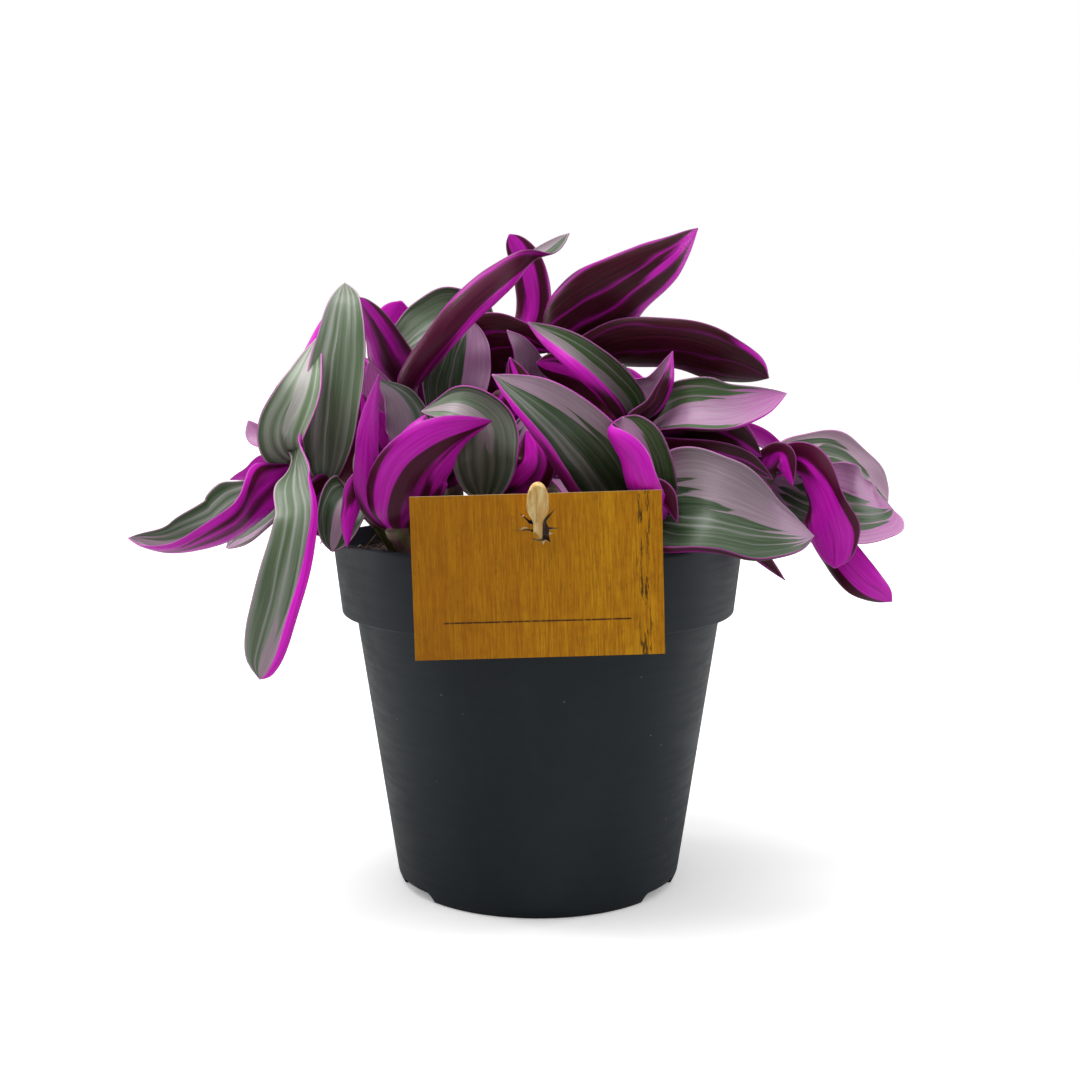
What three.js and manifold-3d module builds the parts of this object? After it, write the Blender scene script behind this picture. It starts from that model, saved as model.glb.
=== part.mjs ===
// Tradescantia in a round plastic nursery pot, with a plain wooden name card held by a stick.
// Millimetres, +Z up. The pot stands on z = 0 with its axis on the Z axis; -Y is the front.
import * as THREE from 'three';
import Module from 'manifold-3d';

const wasm = await Module();
wasm.setup();

// ---- driving dimensions -------------------------------------------------------------
const POT_H = 102.5;             // height of the pot
const RIM_R = 60;                // outer radius of the rim
const LIP_Z = 80.2;              // underside of the lip band
const LIP_R = 57.6;              // outer radius at the bottom of the lip
const BODY_R = 53.7;             // body radius just below the lip
const FOOT_R = 41.6;             // outer radius of the foot ring
const WALL = 1.3;                // pot wall
const FLOOR_Z = 3;               // underside of the raised floor
const NOTCH_H = 2.8;             // height of the three notches in the foot ring
const NOTCH_W = 20;              // width of those notches
const NOTCH_ROUND = 1.5;         // rounding of their upper corners
const NOTCHES = [60, 180, 300];  // where they are, in degrees from the front
const FOOT_DEEP = 8;             // how far in from the foot's outside they cut
const DRAIN_R = 3.5;             // radius of the drain holes
const DRAIN_IN = 8.6;            // from the foot's outside in to the middle of a drain hole
const GAP = 0.3;                 // clearance between neighbouring pieces
const SOIL_Z = 96.5;             // level of the potting mix at the wall
const SOIL_RISE = 1.8;           // how much it domes in the middle
const SOIL_WAVE = 0.4;           // how uneven its top is
const STEM_R = 2.5;              // stem radius in the pot
const STEM_TIP_R = 1.9;          // stem radius at its tip
const LEAF_T = 0.9;              // blade thickness
const CELL = 8;                  // length of a blade's cells
const BROAD = 17.5;              // blades wider than this have four cells across, not two
// the card stands upright, its middle at y, z, turned by tilt degrees in its own plane
const CARD = { w: 64, h: 42, t: 0.8, y: -61, z: 98, tilt: 1.65 };
// the stick: head, neck and thickness; from where it meets the card at y, z it reaches up by
// top and down by foot, leaning by lean degrees
const STICK = { w: 5.6, neck: 2.4, t: 2, top: 15, foot: 28, lean: 36, y: -61, z: 110 };

const RAD = Math.PI / 180;
const COLOURS = {
  pot: 0x2c3234, soil: 0x3a2a20, card: 0xb4741c, stick: 0xd9bd8c, plant: 0x6e8a6a,
};

// ---- solids -------------------------------------------------------------------------
const solid = (geometry, matrix) => {
  const p = geometry.attributes.position.clone();
  if (matrix) p.applyMatrix4(matrix);
  const ids = geometry.index?.array ?? Array.from({ length: p.count }, (_, i) => i);
  const mesh = new wasm.Mesh({
    numProp: 3, vertProperties: Float32Array.from(p.array), triVerts: Uint32Array.from(ids),
  });
  mesh.merge();
  return new wasm.Manifold(mesh);
};
const toGeometry = (manifold) => {
  const m = manifold.getMesh();
  const g = new THREE.BufferGeometry();
  g.setAttribute('position', new THREE.BufferAttribute(Float32Array.from(m.vertProperties), 3));
  g.setIndex(Array.from(m.triVerts));
  g.computeVertexNormals();
  return g;
};
const revolve = (points, segments) => {
  const g = new THREE.LatheGeometry(points.map(([r, z]) => new THREE.Vector2(r, z)), segments);
  return g.rotateX(Math.PI / 2);
};
const group = new THREE.Group();
const add = (name, shape, color, roughness) => {
  const mesh = new THREE.Mesh(toGeometry(shape), new THREE.MeshStandardMaterial({ color, roughness }));
  mesh.name = name;
  group.add(mesh);
};

// ---- pot: thin wall, lip band, raised floor on a notched foot ring --------------------
const inner = [
  [FOOT_R - 0.5, FLOOR_Z + WALL], [BODY_R - WALL, LIP_Z + 1.6], [LIP_R - WALL + 0.3, LIP_Z + 3],
  [RIM_R - WALL - 0.1, POT_H - 0.7],
];
const potProfile = [
  [0, FLOOR_Z], [FOOT_R - 4.2, FLOOR_Z], [FOOT_R - 3.6, 0.3], [FOOT_R - 3.2, 0], [FOOT_R - 1.2, 0],
  [FOOT_R - 0.3, 0.6], [FOOT_R + 0.3, 2.6], [BODY_R, LIP_Z + 0.8], [LIP_R - 0.5, LIP_Z],
  [LIP_R, LIP_Z + 0.4], [RIM_R, POT_H - 0.8], [RIM_R - 0.3, POT_H - 0.1], [RIM_R - 0.7, POT_H],
  [RIM_R - 1.2, POT_H - 0.2], ...inner.slice().reverse(), [0, FLOOR_Z + WALL],
];
let pot = solid(revolve(potProfile, 40));
for (const angle of NOTCHES) {
  const side = NOTCH_W / 2;
  const shape = new THREE.Shape();
  shape.moveTo(-side, -NOTCH_H);
  shape.lineTo(side, -NOTCH_H);
  shape.lineTo(side, NOTCH_H - NOTCH_ROUND);
  shape.quadraticCurveTo(side, NOTCH_H, side - NOTCH_ROUND, NOTCH_H);
  shape.lineTo(NOTCH_ROUND - side, NOTCH_H);
  shape.quadraticCurveTo(-side, NOTCH_H, -side, NOTCH_H - NOTCH_ROUND);
  const notch = new THREE.ExtrudeGeometry(shape, {
    depth: 2 * FOOT_DEEP, bevelEnabled: false, curveSegments: 4,
  });
  notch.rotateX(Math.PI / 2).translate(0, FOOT_DEEP - FOOT_R, 0).rotateZ(angle * RAD);
  pot = pot.subtract(solid(notch));
  const drain = new THREE.CylinderGeometry(DRAIN_R, DRAIN_R, 2 * FLOOR_Z, 20);
  drain.rotateX(Math.PI / 2).translate(0, DRAIN_IN - FOOT_R, FLOOR_Z).rotateZ(angle * RAD);
  pot = pot.subtract(solid(drain));
}

// ---- leaf: a tapering blade swept along a curved midrib -------------------------------
// spine: points from the stem to the tip; width: widest place; up: the way the upper side
// faces, from base to tip. curlL/curlR bend the halves up at the margin, foldL/foldR lift
// them from the midrib, all in degrees from base to tip. OUTLINE and BLUNT give half the width
// along a blade, as shares of the widest; blunt mixes them and belly under 1 moves the widest
// place toward the stem.
const OUTLINE = [[0, 0.3], [0.05, 0.5], [0.12, 0.74], [0.22, 0.93], [0.33, 1], [0.45, 0.98],
  [0.58, 0.88], [0.7, 0.72], [0.81, 0.52], [0.9, 0.31], [0.96, 0.14], [1, 0]];
const BLUNT = [[0, 0.32], [0.08, 0.5], [0.2, 0.68], [0.36, 0.86], [0.52, 0.97], [0.68, 1],
  [0.8, 0.95], [0.9, 0.76], [0.96, 0.48], [1, 0]];
const columns = ({ width, broadL = 1 }) => (width * broadL > BROAD ? 4 : 2); // cells across
const midrib = (spec) => new THREE.CatmullRomCurve3(spec.spine.map((p) => new THREE.Vector3(...p)),
  false, 'catmullrom', 0.5);
const cells = (spec) => Math.min(8, Math.max(5, Math.round(midrib(spec).getLength() / CELL)));
const leaf = (spine, width, up, options = {}) => ({ spine, width, up, ...options });

const readCurve = (table, t) => {
  const k = Math.max(1, table.findIndex(([a]) => a >= t));
  const [a, b] = [table[k - 1], table[k]];
  return b ? a[1] + (b[1] - a[1]) * (t - a[0]) / (b[0] - a[0]) : 0;
};
const blend = (keys, t, mix) => {
  const q = t * (keys.length - 1);
  const k = Math.min(Math.floor(q), Math.max(keys.length - 2, 0));
  const w = q - k;
  return mix(keys[k], keys[k + 1] ?? keys[k], w * w * (3 - 2 * w));
};
const scalar = (keys, t) => blend(keys, t, (a, b, w) => a + (b - a) * w);
const vector = (keys, t) => blend(keys, t, (a, b, w) => new THREE.Vector3(...a)
  .lerp(new THREE.Vector3(...b), w));

const bladeGrid = (spec) => {
  const { width, up, curlL = [70, 35, 25], curlR = [70, 35, 25], foldL = [0, 0],
    foldR = [0, 0], blunt = 0, belly = 1, ripple = 0.05, broadL = 1 } = spec;
  const curve = midrib(spec);
  const rows = [];
  const [ROWS, COLS] = [cells(spec), columns(spec)];
  for (let i = 0; i <= ROWS; i += 1) {
    const t = i / ROWS;
    const c = curve.getPointAt(t);
    const along = curve.getTangentAt(t);
    const n = vector(up, t);
    n.addScaledVector(along, -n.dot(along)).normalize();
    const side = new THREE.Vector3().crossVectors(along, n);
    const place = t ** belly;
    const outline = readCurve(OUTLINE, place) * (1 - blunt) + readCurve(BLUNT, place) * blunt;
    const half = (width / 2) * outline;
    const row = [];
    for (let j = 0; j <= COLS; j += 1) {
      const s = (j / COLS) * 2 - 1;
      const fold = scalar(s > 0 ? foldR : foldL, t) * RAD;
      const curl = Math.max(scalar(s > 0 ? curlR : curlL, t) * RAD, 0.001);
      const h = Math.max(half, 0.7) * (s < 0 ? broadL : 1);
      const a = Math.abs(s);
      const lateral = Math.sign(s) * h * (Math.sin(fold + curl * a) - Math.sin(fold)) / curl;
      const wave = ripple * (width / 2) * a * a * Math.sin(Math.PI * Math.min(t * 1.1, 1))
        * Math.sin(2 * Math.PI * (2.5 * t + (s > 0 ? 0.35 : 0)));
      const rise = h * (Math.cos(fold) - Math.cos(fold + curl * a)) / curl + wave;
      row.push(c.clone().addScaledVector(side, lateral).addScaledVector(n, rise));
    }
    rows.push(row);
  }
  return rows;
};
const bladeSolid = (spec) => {
  const g = bladeGrid(spec);
  const [ROWS, COLS] = [cells(spec), columns(spec)];
  const at = (i, j) => g[Math.min(Math.max(i, 0), ROWS)][Math.min(Math.max(j, 0), COLS)];
  const upper = [];
  const lower = [];
  for (let i = 0; i <= ROWS; i += 1) {
    for (let j = 0; j <= COLS; j += 1) {
      const n = new THREE.Vector3().crossVectors(
        at(i, j + 1).clone().sub(at(i, j - 1)), at(i + 1, j).clone().sub(at(i - 1, j)),
      ).normalize();
      upper.push(at(i, j).clone().addScaledVector(n, LEAF_T / 2));
      lower.push(at(i, j).clone().addScaledVector(n, -LEAF_T / 2));
    }
  }
  const points = [...upper, ...lower].flatMap((v) => [v.x, v.y, v.z]);
  const N = upper.length;
  const id = (i, j) => i * (COLS + 1) + j;
  const faces = [];
  for (let i = 0; i < ROWS; i += 1) {
    for (let j = 0; j < COLS; j += 1) {
      const [a, b, c, d] = [id(i, j), id(i + 1, j), id(i + 1, j + 1), id(i, j + 1)];
      const halves = (i + j) % 2 ? [[a, c, b], [a, d, c]] : [[a, d, b], [b, d, c]];
      for (const [x, y, z] of halves) faces.push(x, y, z, x + N, z + N, y + N);
    }
  }
  const wall = (p, q) => faces.push(p, q, q + N, p, q + N, p + N);
  for (let i = 0; i < ROWS; i += 1) {
    wall(id(i, 0), id(i + 1, 0));
    wall(id(i + 1, COLS), id(i, COLS));
  }
  for (let j = 0; j < COLS; j += 1) {
    wall(id(0, j + 1), id(0, j));
    wall(id(ROWS, j), id(ROWS, j + 1));
  }
  const geometry = new THREE.BufferGeometry();
  geometry.setAttribute('position', new THREE.Float32BufferAttribute(points, 3));
  geometry.setIndex(faces);
  return solid(geometry);
};

// ---- stem: a round rod along its own curve, thinner toward the tip --------------------
// grow makes it thicker and extra longer at its foot, for the holes in the potting mix.
const SIDES = 7;                 // round a stem
const RINGS = 6;                 // steps along it
const stemSolid = (points, grow = 0, extra = 0) => {
  const curve = new THREE.CatmullRomCurve3(points.map((p) => new THREE.Vector3(...p)), false,
    'catmullrom', 0.5);
  const frames = curve.computeFrenetFrames(RINGS, false);
  const position = [];
  for (let i = 0; i <= RINGS; i += 1) {
    const t = i / RINGS;
    const c = curve.getPointAt(t);
    if (i === 0) c.addScaledVector(curve.getTangentAt(0), -extra);
    const r = STEM_R + (STEM_TIP_R - STEM_R) * t + grow;
    for (let k = 0; k < SIDES; k += 1) {
      const a = (k / SIDES) * 2 * Math.PI;
      const p = c.clone().addScaledVector(frames.normals[i], r * Math.cos(a))
        .addScaledVector(frames.binormals[i], r * Math.sin(a));
      position.push(p.x, p.y, p.z);
    }
  }
  const start = position.length / 3;
  const a = curve.getPointAt(0).addScaledVector(curve.getTangentAt(0), -extra);
  const b = curve.getPointAt(1).addScaledVector(curve.getTangentAt(1), STEM_TIP_R * 0.6);
  position.push(a.x, a.y, a.z, b.x, b.y, b.z);
  const index = [];
  for (let k = 0; k < SIDES; k += 1) {
    const m = (k + 1) % SIDES;
    for (let i = 0; i < RINGS; i += 1) {
      const [p, q, r, s] = [i * SIDES + k, i * SIDES + m, (i + 1) * SIDES + m, (i + 1) * SIDES + k];
      index.push(p, q, r, p, r, s);
    }
    index.push(start, m, k, start + 1, RINGS * SIDES + k, RINGS * SIDES + m);
  }
  const geometry = new THREE.BufferGeometry();
  geometry.setAttribute('position', new THREE.Float32BufferAttribute(position, 3));
  geometry.setIndex(index);
  return solid(geometry);
};

// ---- the shoots: where each stem runs and where each leaf reaches -----------------------
const SHOOTS = {
  left: {
    stem: [[-34, -12, 88], [-46, -16, 108], [-57, -18, 117], [-66, -18, 121], [-69, -18, 128]],
    leaves: [
      leaf([[-60, -18, 118], [-57, -26, 132], [-54.5, -26, 152], [-53.5, -20, 168],
        [-54.6, -11, 175]], 18,
        [[-0.3, -1, 0.1], [-0.2, -1, 0.2], [-0.1, -0.9, 0.3], [0, -0.5, 1]],
        { curlL: [60, 45, 30, 10], curlR: [60, 35, 20, 10], blunt: 0.12 }),
      leaf([[-67, -18, 124], [-69.2, -29, 132], [-64, -31, 145], [-61, -19, 160]], 16.5,
        [[-0.3, -1, 0.1], [-0.2, -1, 0.2], [-0.3, -0.8, 0.3]],
        { curlL: [60, 45, 30], curlR: [60, 35, 20], belly: 0.8 }),
      leaf([[-67, -18, 121], [-71, -25, 115], [-77, -34, 109], [-85, -40, 104],
        [-99, -40, 101.5], [-111, -36, 105]], 29,
        [[-0.4, -0.1, 1], [-0.1, -0.6, 0.8], [-0.1, -0.6, 0.8]],
        { curlL: [20, 15, 10], curlR: [15, 15, 10], foldL: [85, 85, 62, 48, 40],
          foldR: [30, 30, 26, 34, 38] }),
      leaf([[-68, -19, 127], [-65, -30, 129.5], [-64, -41, 125.5], [-62.5, -49, 120],
        [-60.3, -56, 114], [-61, -59, 106], [-63.2, -60, 95], [-67.2, -59, 82], [-72.2, -57, 70.5]], 18.5,
        [[-0.5, -0.1, 0.8], [-0.95, -0.25, 0.3], [-0.35, -1, 0.2], [-0.4, -1, 0], [-0.5, -1, 0],
         [-0.4, -1, 0]],
        { curlL: [50, 60, 60, 70, 60], curlR: [60, 30, 25, 25, 20], blunt: 1, ripple: 0.08,
          belly: 1.5 }),
      leaf([[-68, -17, 126], [-76, -12, 123], [-83, -10, 120], [-89, -8, 119]], 10,
        [[0, 0.6, 1], [0, 0.6, 1]],
        { curlL: [50, 30], curlR: [50, 30] }),
      leaf([[-66, -17, 121], [-74, -14, 114], [-82, -12, 106], [-91, -6, 99]], 18,
        [[-0.4, -1, 0.6], [-0.4, -0.8, 0.6]],
        { curlL: [50, 30], curlR: [50, 30] }),
      leaf([[-62, -18, 119], [-65, -6, 142], [-61.5, 0, 159], [-55, 4, 174.5]], 17,
        [[0.3, 1, 0.2], [0.2, 1, 0.2]],
        { curlL: [30], curlR: [30] }),
      leaf([[-69, -17, 127], [-75, -14, 130], [-80, -12, 132], [-83, -10, 136]], 10,
        [[-0.1, -0.6, 1], [-0.3, -0.8, 0.5]]),
      leaf([[-57, -19, 116], [-61, -22, 114], [-61, -24, 109], [-58, -26, 104]], 17,
        [[-0.8, 0.2, 0.6], [-0.8, 0.6, 0.2]]),
      leaf([[-51, -18, 112], [-51, -31, 116], [-53, -39, 112], [-55, -42, 102]], 16,
        [[0.3, -0.6, 1], [0.2, -1, 0.2]],
        { blunt: 0.5 }),
      leaf([[-55, -17, 115], [-53, -13, 122], [-50, -12, 132], [-50, -11, 144]], 14,
        [[0.1, 1, 0.2]],
        { curlL: [20], curlR: [20] }),
    ],
  },
  front_left: {
    stem: [[-30, -30, 88], [-37, -38, 105], [-39, -40, 112], [-40, -37, 121], [-40, -33, 126]],
    leaves: [
      leaf([[-37, -39, 107], [-35, -50, 114], [-31, -55, 124], [-23, -54, 131], [-12, -46, 137]], 23,
        [[-0.3, 1, 0.3], [-0.2, 1, 0.4], [0, 0.8, 0.8]],
        { curlL: [55, 35, 20], curlR: [55, 40, 30] }),
      leaf([[-39, -39, 108], [-42, -47, 117], [-43, -49, 132], [-42, -42, 149]], 12,
        [[-0.8, 0.6, 0.1], [-0.9, 0.5, 0.1]],
        { curlL: [70, 50, 20], curlR: [70, 50, 20] }),
      leaf([[-39, -38, 112], [-45, -42, 121], [-46, -41, 132], [-47, -36, 139]], 10,
        [[-0.9, -0.4, 0.1]],
        { curlL: [60, 40], curlR: [60, 40] }),
      leaf([[-39, -39, 113], [-45, -45, 119], [-48, -48, 113], [-50, -50, 104]], 13,
        [[-0.8, 0.3, 0.8], [-0.9, 0.4, 0]],
        { curlL: [60, 40], curlR: [60, 40] }),
      leaf([[-40, -33, 124], [-36, -29, 131], [-38, -25, 141], [-45, -22, 148]], 15,
        [[0.3, -1, 0.2], [0.4, -0.7, 0.8]]),
      leaf([[-39, -36, 117], [-37, -34, 124], [-34, -32, 131], [-31, -27, 138]], 15,
        [[0.3, 1, 0.2]]),
    ],
  },
  centre: {
    stem: [[-10, -18, 88], [-15, -20, 108], [-18, -18, 121], [-24, -9, 131], [-25, -6, 136]],
    leaves: [
      leaf([[-15, -21, 115], [-14, -29, 126], [-15, -33, 135], [-22, -34, 140], [-32, -28, 139]], 21,
        [[0, -1, 0.2], [0, -1, 0.6], [-0.2, -0.7, 0.8]]),
      leaf([[-25, -6, 133], [-24, -7, 143], [-22, -5.5, 155], [-20, -1, 165]], 21,
        [[0.1, -1, 0.1], [0.1, -1, 0.3]],
        { curlL: [35, 20, 15], curlR: [60, 35, 20], blunt: 0.35 }),
      leaf([[-17, -18, 119], [-6, -21, 127], [-1, -20, 135], [2, -15, 142]], 14,
        [[0, -1, 0.6]]),
      leaf([[-15, -19, 114], [-8, -27, 119], [-2, -30, 125], [-3, -28, 134]], 20,
        [[0.2, 1, 0.2]]),
      leaf([[-20, -14, 125], [-12, -12, 134], [-6, -12, 144], [-8, -10, 154]], 16,
        [[0.1, 1, 0.2]]),
    ],
  },
  top_left: {
    stem: [[-20, 8, 88], [-26, 7, 118], [-33, 2, 134], [-37, -2, 141]],
    leaves: [
      leaf([[-36, -2, 139], [-36.2, -17, 146], [-27.6, -25, 156.5], [-20.5, -25, 165],
        [-12.6, -19, 172.6], [-4.6, -10, 179.1], [3, -3, 184.5], [9, 2, 190]], 14,
        [[0, 1, 0.2], [-0.2, 1, 0.3], [-0.2, 1, 0.3], [0, -0.9, 0.5]],
        { curlL: [110, 95, 60, 20], curlR: [110, 95, 60, 20], blunt: 0.25 }),
      leaf([[-34, 1, 136], [-42, -4, 149], [-46.5, -4, 160], [-52.3, -1, 171.5]], 17,
        [[0.3, 1, 0.1], [0.5, 0.8, 0.4]],
        { blunt: 0.3 }),
      leaf([[-27, 6, 120], [-37, -2, 130], [-44, -7, 140], [-49, -5, 153]], 18,
        [[0, -1, 0.3]],
        { curlL: [25], curlR: [25] }),
      leaf([[-26, 7, 115], [-22, -2, 122], [-14, -8, 124], [-6, -8, 118]], 14,
        [[0, -0.6, 1]]),
      leaf([[-28, 5, 122], [-34, -12, 124], [-40, -19, 130], [-46, -19, 140]], 17,
        [[0.2, 1, 0.3]],
        { curlL: [20], curlR: [20] }),
    ],
  },
  top_centre: {
    stem: [[-6, 12, 88], [-8, 13, 120], [-9, 13, 143], [-11, 12, 154], [-17, 9, 161]],
    leaves: [
      leaf([[-16, 10, 162], [-20, 10, 165.5], [-28.5, 8, 164.2], [-38, 6, 158.2], [-46, 6.5, 151]], 21,
        [[0.2, -1, 0.6], [-0.1, -1, 0.7], [-0.3, -1, 0.4]]),
      leaf([[-11, 14, 153], [-2, 17, 166], [-2.6, 16, 180], [-8.6, 15, 191]], 12,
        [[0, 1, 0.2]],
        { blunt: 0.7 }),
      leaf([[-9, 13, 141], [-17, 7, 149], [-15, 2, 157], [-6, 1, 158], [4, 5, 156]], 23,
        [[0.3, 1, 0.3], [0.2, 1, 0.5], [0, 0.9, 0.8]],
        { curlL: [50, 30, 20], curlR: [50, 30, 20] }),
      leaf([[-9, 13, 146], [-3, 2, 149], [-5, -3, 157], [-9, -3, 162]], 11,
        [[0.2, -1, 0.3]]),
      leaf([[-8, 13, 116], [0, 6, 124], [6, 0, 132], [10, -4, 143]], 18,
        [[0.2, 1, 0.3]]),
      leaf([[-8, 13, 112], [-5, 4, 117], [-5, -6, 116], [-6, -12, 110]], 12,
        [[0, 0.3, 1]]),
      leaf([[-8, 13, 126], [-16, 18, 136], [-22, 20, 146], [-26, 18, 154]], 17,
        [[0.2, 1, 0.3]]),
    ],
  },
  top_right: {
    stem: [[8, 18, 88], [10, 16, 120], [9, 13, 144], [5, 12, 156], [3, 12, 161]],
    leaves: [
      leaf([[3, 12, 158], [9.4, 4, 163], [24.7, -4, 172.8], [38.5, 0, 182.4], [47, 8, 192]], 25.5,
        [[0.2, 1, 0.4], [0, 1, 0.5], [-0.2, 1, 0.4]],
        { curlL: [60, 35, 20], curlR: [60, 35, 20], belly: 0.85 }),
      leaf([[7, 12, 147], [16, 6, 152.5], [28, 0, 155.2], [42, -4, 154.8],
        [55, -4, 151.2], [67.5, 1, 148.2]], 24,
        [[0, 0.5, 1], [0, 0.9, 0.8], [-0.1, 0.8, 0.8]],
        { curlL: [50, 50, 30], curlR: [50, 50, 30], blunt: 0.6, belly: 0.85 }),
      leaf([[10, 16, 122], [20, 12, 132], [32, 10, 138], [44, 10, 138]], 17,
        [[0, 0.6, 1]]),
      leaf([[9, 14, 138], [14, 20, 148], [16, 26, 156], [14, 30, 162]], 15,
        [[0, 1, 0.2]]),
    ],
  },
  right: {
    stem: [[14, 0, 88], [18, -2, 112], [25, -9, 128], [30, -13, 134]],
    leaves: [
      leaf([[29, -12, 133], [24, -20, 142], [12, -23, 153], [-3, -10, 164]], 14,
        [[-0.4, -1, 0.4], [-0.4, -1, 0.4]],
        { curlL: [100, 90, 50], curlR: [60, 40, 30], broadL: 1.4 }),
      leaf([[25, -14, 136], [33, -20, 138.5], [37.2, -22.5, 146], [37.3, -22, 155.5]], 32,
        [[-0.9, -0.1, 0.4], [-0.93, -0.05, 0.37]],
        { curlL: [20, 20], curlR: [20, 20], foldL: [55, 55, 60], foldR: [28, 26, 28],
          ripple: 0.02, broadL: 1.15, belly: 0.5 }),
      leaf([[29, -13, 133], [40, -25, 138.5], [54, -28, 139.5], [69, -22, 144]], 20.5,
        [[0, -1, 0.8], [0, -1, 0.7]]),
      leaf([[27, -11, 130], [42, -18, 133.5], [53, -19, 131.5], [63.5, -14, 126]], 19,
        [[0, 0.9, 0.5]],
        { curlL: [25], curlR: [25] }),
      leaf([[24, -9, 125], [42, -26, 126], [54, -26, 124.5], [66, -20, 120]], 18,
        [[0, 0.6, 0.9]],
        { curlL: [25], curlR: [25] }),
      leaf([[17, -2, 110], [9, -12, 118], [7, -20, 119], [9, -27, 113]], 13,
        [[0, 0.4, 1]],
        { curlL: [30], curlR: [30] }),
      leaf([[22, -7, 118], [38, -16, 120.5], [54, -20, 121], [66, -18, 117]], 20,
        [[0, 0.5, 1]]),
      leaf([[27, -11, 131], [22, -10, 142], [13, -7.5, 149], [-0.5, -6, 152.5]], 16,
        [[0, 1, 0.3]],
        { curlL: [25], curlR: [25], blunt: 0.4 }),
    ],
  },
  front_right: {
    stem: [[28, -24, 88], [31, -32, 105], [32, -36, 113], [33, -37, 118]],
    leaves: [
      leaf([[31, -33, 107], [21, -40, 117], [12, -48, 129], [2, -52, 139], [-12, -44, 149]], 29,
        [[-0.4, -1, 0], [-0.3, -1, 0.15], [-0.2, -1, 0.3]],
        { curlL: [40, 25, 20], curlR: [60, 35, 25], belly: 0.85 }),
      leaf([[32, -37, 113], [29.5, -46, 121], [26.5, -50, 130], [22, -48, 138]], 17,
        [[-0.1, -1, 0.1]],
        { curlL: [90, 80, 60, 30], curlR: [60, 50, 40, 30], blunt: 0.6, broadL: 1.3 }),
      leaf([[32, -36, 112], [30, -48, 119], [33, -54, 118], [36, -56, 111]], 8,
        [[0, 0.3, 1], [0.3, 0.9, 0.2]]),
      leaf([[32, -38.6, 111.5], [38.5, -46, 112.5], [47, -51.5, 112.3], [62, -49.5, 108.5],
        [74, -40, 106]], 36,
        [[-0.6, -0.75, 0.3], [0.1, -1, 0.6], [0.1, -1, 0.6]],
        { curlL: [25, 25, 20], curlR: [25, 20, 15], foldR: [45, 12, 0, 0], belly: 0.62 }),
      leaf([[31, -33, 107], [43, -42, 109], [55, -46, 103.5], [66, -43, 94.5]], 9,
        [[0, 0.6, 1]]),
    ],
  },
  far_right: {
    stem: [[36, 6, 88], [52, 5, 108], [64, 3, 117], [70, 2, 121]],
    leaves: [
      leaf([[69, 3, 120], [80, 8, 124], [93, 9, 121.5], [106, 12, 111]], 20,
        [[0, -0.9, 0.8]],
        { blunt: 0.5, ripple: 0.14 }),
      leaf([[67, 2, 118], [79, -2, 113], [90, -6, 110.5], [101, 1, 109], [108.2, 11, 109]], 27,
        [[0, -1, 0.5]],
        { blunt: 0.3, ripple: 0.14 }),
      leaf([[70, 1, 121], [74, -9, 122], [77.5, -16, 117], [81, -19, 106], [85, -14, 94]], 22,
        [[-0.3, 0.5, 1], [0.6, 0.5, 0.4], [0.6, 0.8, 0]],
        { blunt: 0.6, ripple: 0.14 }),
      leaf([[66, 3, 118], [66, -8, 122], [69, -15, 126], [72, -18, 118]], 11,
        [[0, 0.5, 1], [0.5, 0.8, 0]]),
      leaf([[66, 3, 117], [77, 5, 109], [86, 0, 98.5], [95, -4, 88.5], [105.5, 2, 82]], 15,
        [[0, 0.6, 1], [0, 1, 0.4]],
        { blunt: 0.5 }),
      leaf([[58, 4, 112], [50, 14, 122], [46, 18, 130], [40, 20, 136]], 14,
        [[0, -0.6, 1]]),
      leaf([[50, 5, 106], [62, 18, 110], [72, 26, 106], [82, 30, 96]], 16,
        [[0, 0.4, 1]]),
    ],
  },
  back_left: {
    stem: [[-18, 28, 88], [-26, 38, 108], [-34, 46, 120], [-37, 48, 128]],
    leaves: [
      leaf([[-34, 46, 120], [-50, 52, 128], [-66, 56, 126], [-80, 58, 114]], 20,
        [[0, 0.4, 1]]),
      leaf([[-28, 40, 112], [-32, 52, 116], [-36, 63, 109], [-40, 70, 94]], 20,
        [[0, 0.5, 1], [0, 1, 0.3]]),
      leaf([[-36, 48, 126], [-44, 48, 143], [-48, 48, 160], [-44, 46, 173]], 17,
        [[0, 1, 0.2]],
        { blunt: 0.8 }),
      leaf([[-37, 48, 128], [-46, 44, 140], [-54, 42, 150], [-58, 44, 156]], 15,
        [[-0.4, 0.5, 0.6]]),
      leaf([[-23, 34, 103], [-44, 44, 112], [-60, 50, 106], [-72, 50, 94]], 17,
        [[-0.2, 0.2, 1]]),
      leaf([[-29, 41, 113], [-44, 32, 126], [-58, 24, 130], [-70, 17, 124]], 17,
        [[0, 0.2, 1]]),
      leaf([[-35, 47, 122], [-24, 40, 130], [-14, 34, 134], [-6, 32, 132]], 15,
        [[0, 0.2, 1]]),
    ],
  },
  back: {
    stem: [[2, 34, 88], [4, 42, 108], [6, 50, 122], [6, 52, 132]],
    leaves: [
      leaf([[6, 50, 124], [8, 60, 127], [10, 67, 119], [10, 71, 105]], 19,
        [[0, 0.6, 1], [0, 1, 0.3]]),
      leaf([[4, 43, 111], [-8, 53, 118], [-16, 61, 114], [-22, 68, 102]], 17,
        [[0, 0.6, 1], [-0.3, 1, 0.3]]),
      leaf([[4, 44, 113], [16, 53, 120], [22, 60, 116], [27, 66, 104]], 17,
        [[0, 0.6, 1], [0.3, 1, 0.3]]),
      leaf([[6, 51, 129], [2, 45, 142], [-2, 41, 152], [-6, 40, 160]], 15,
        [[0, 1, 0.2]]),
      leaf([[6, 52, 131], [14, 46, 142], [20, 42, 150], [24, 42, 157]], 14,
        [[0.3, 0.8, 0.3]]),
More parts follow.
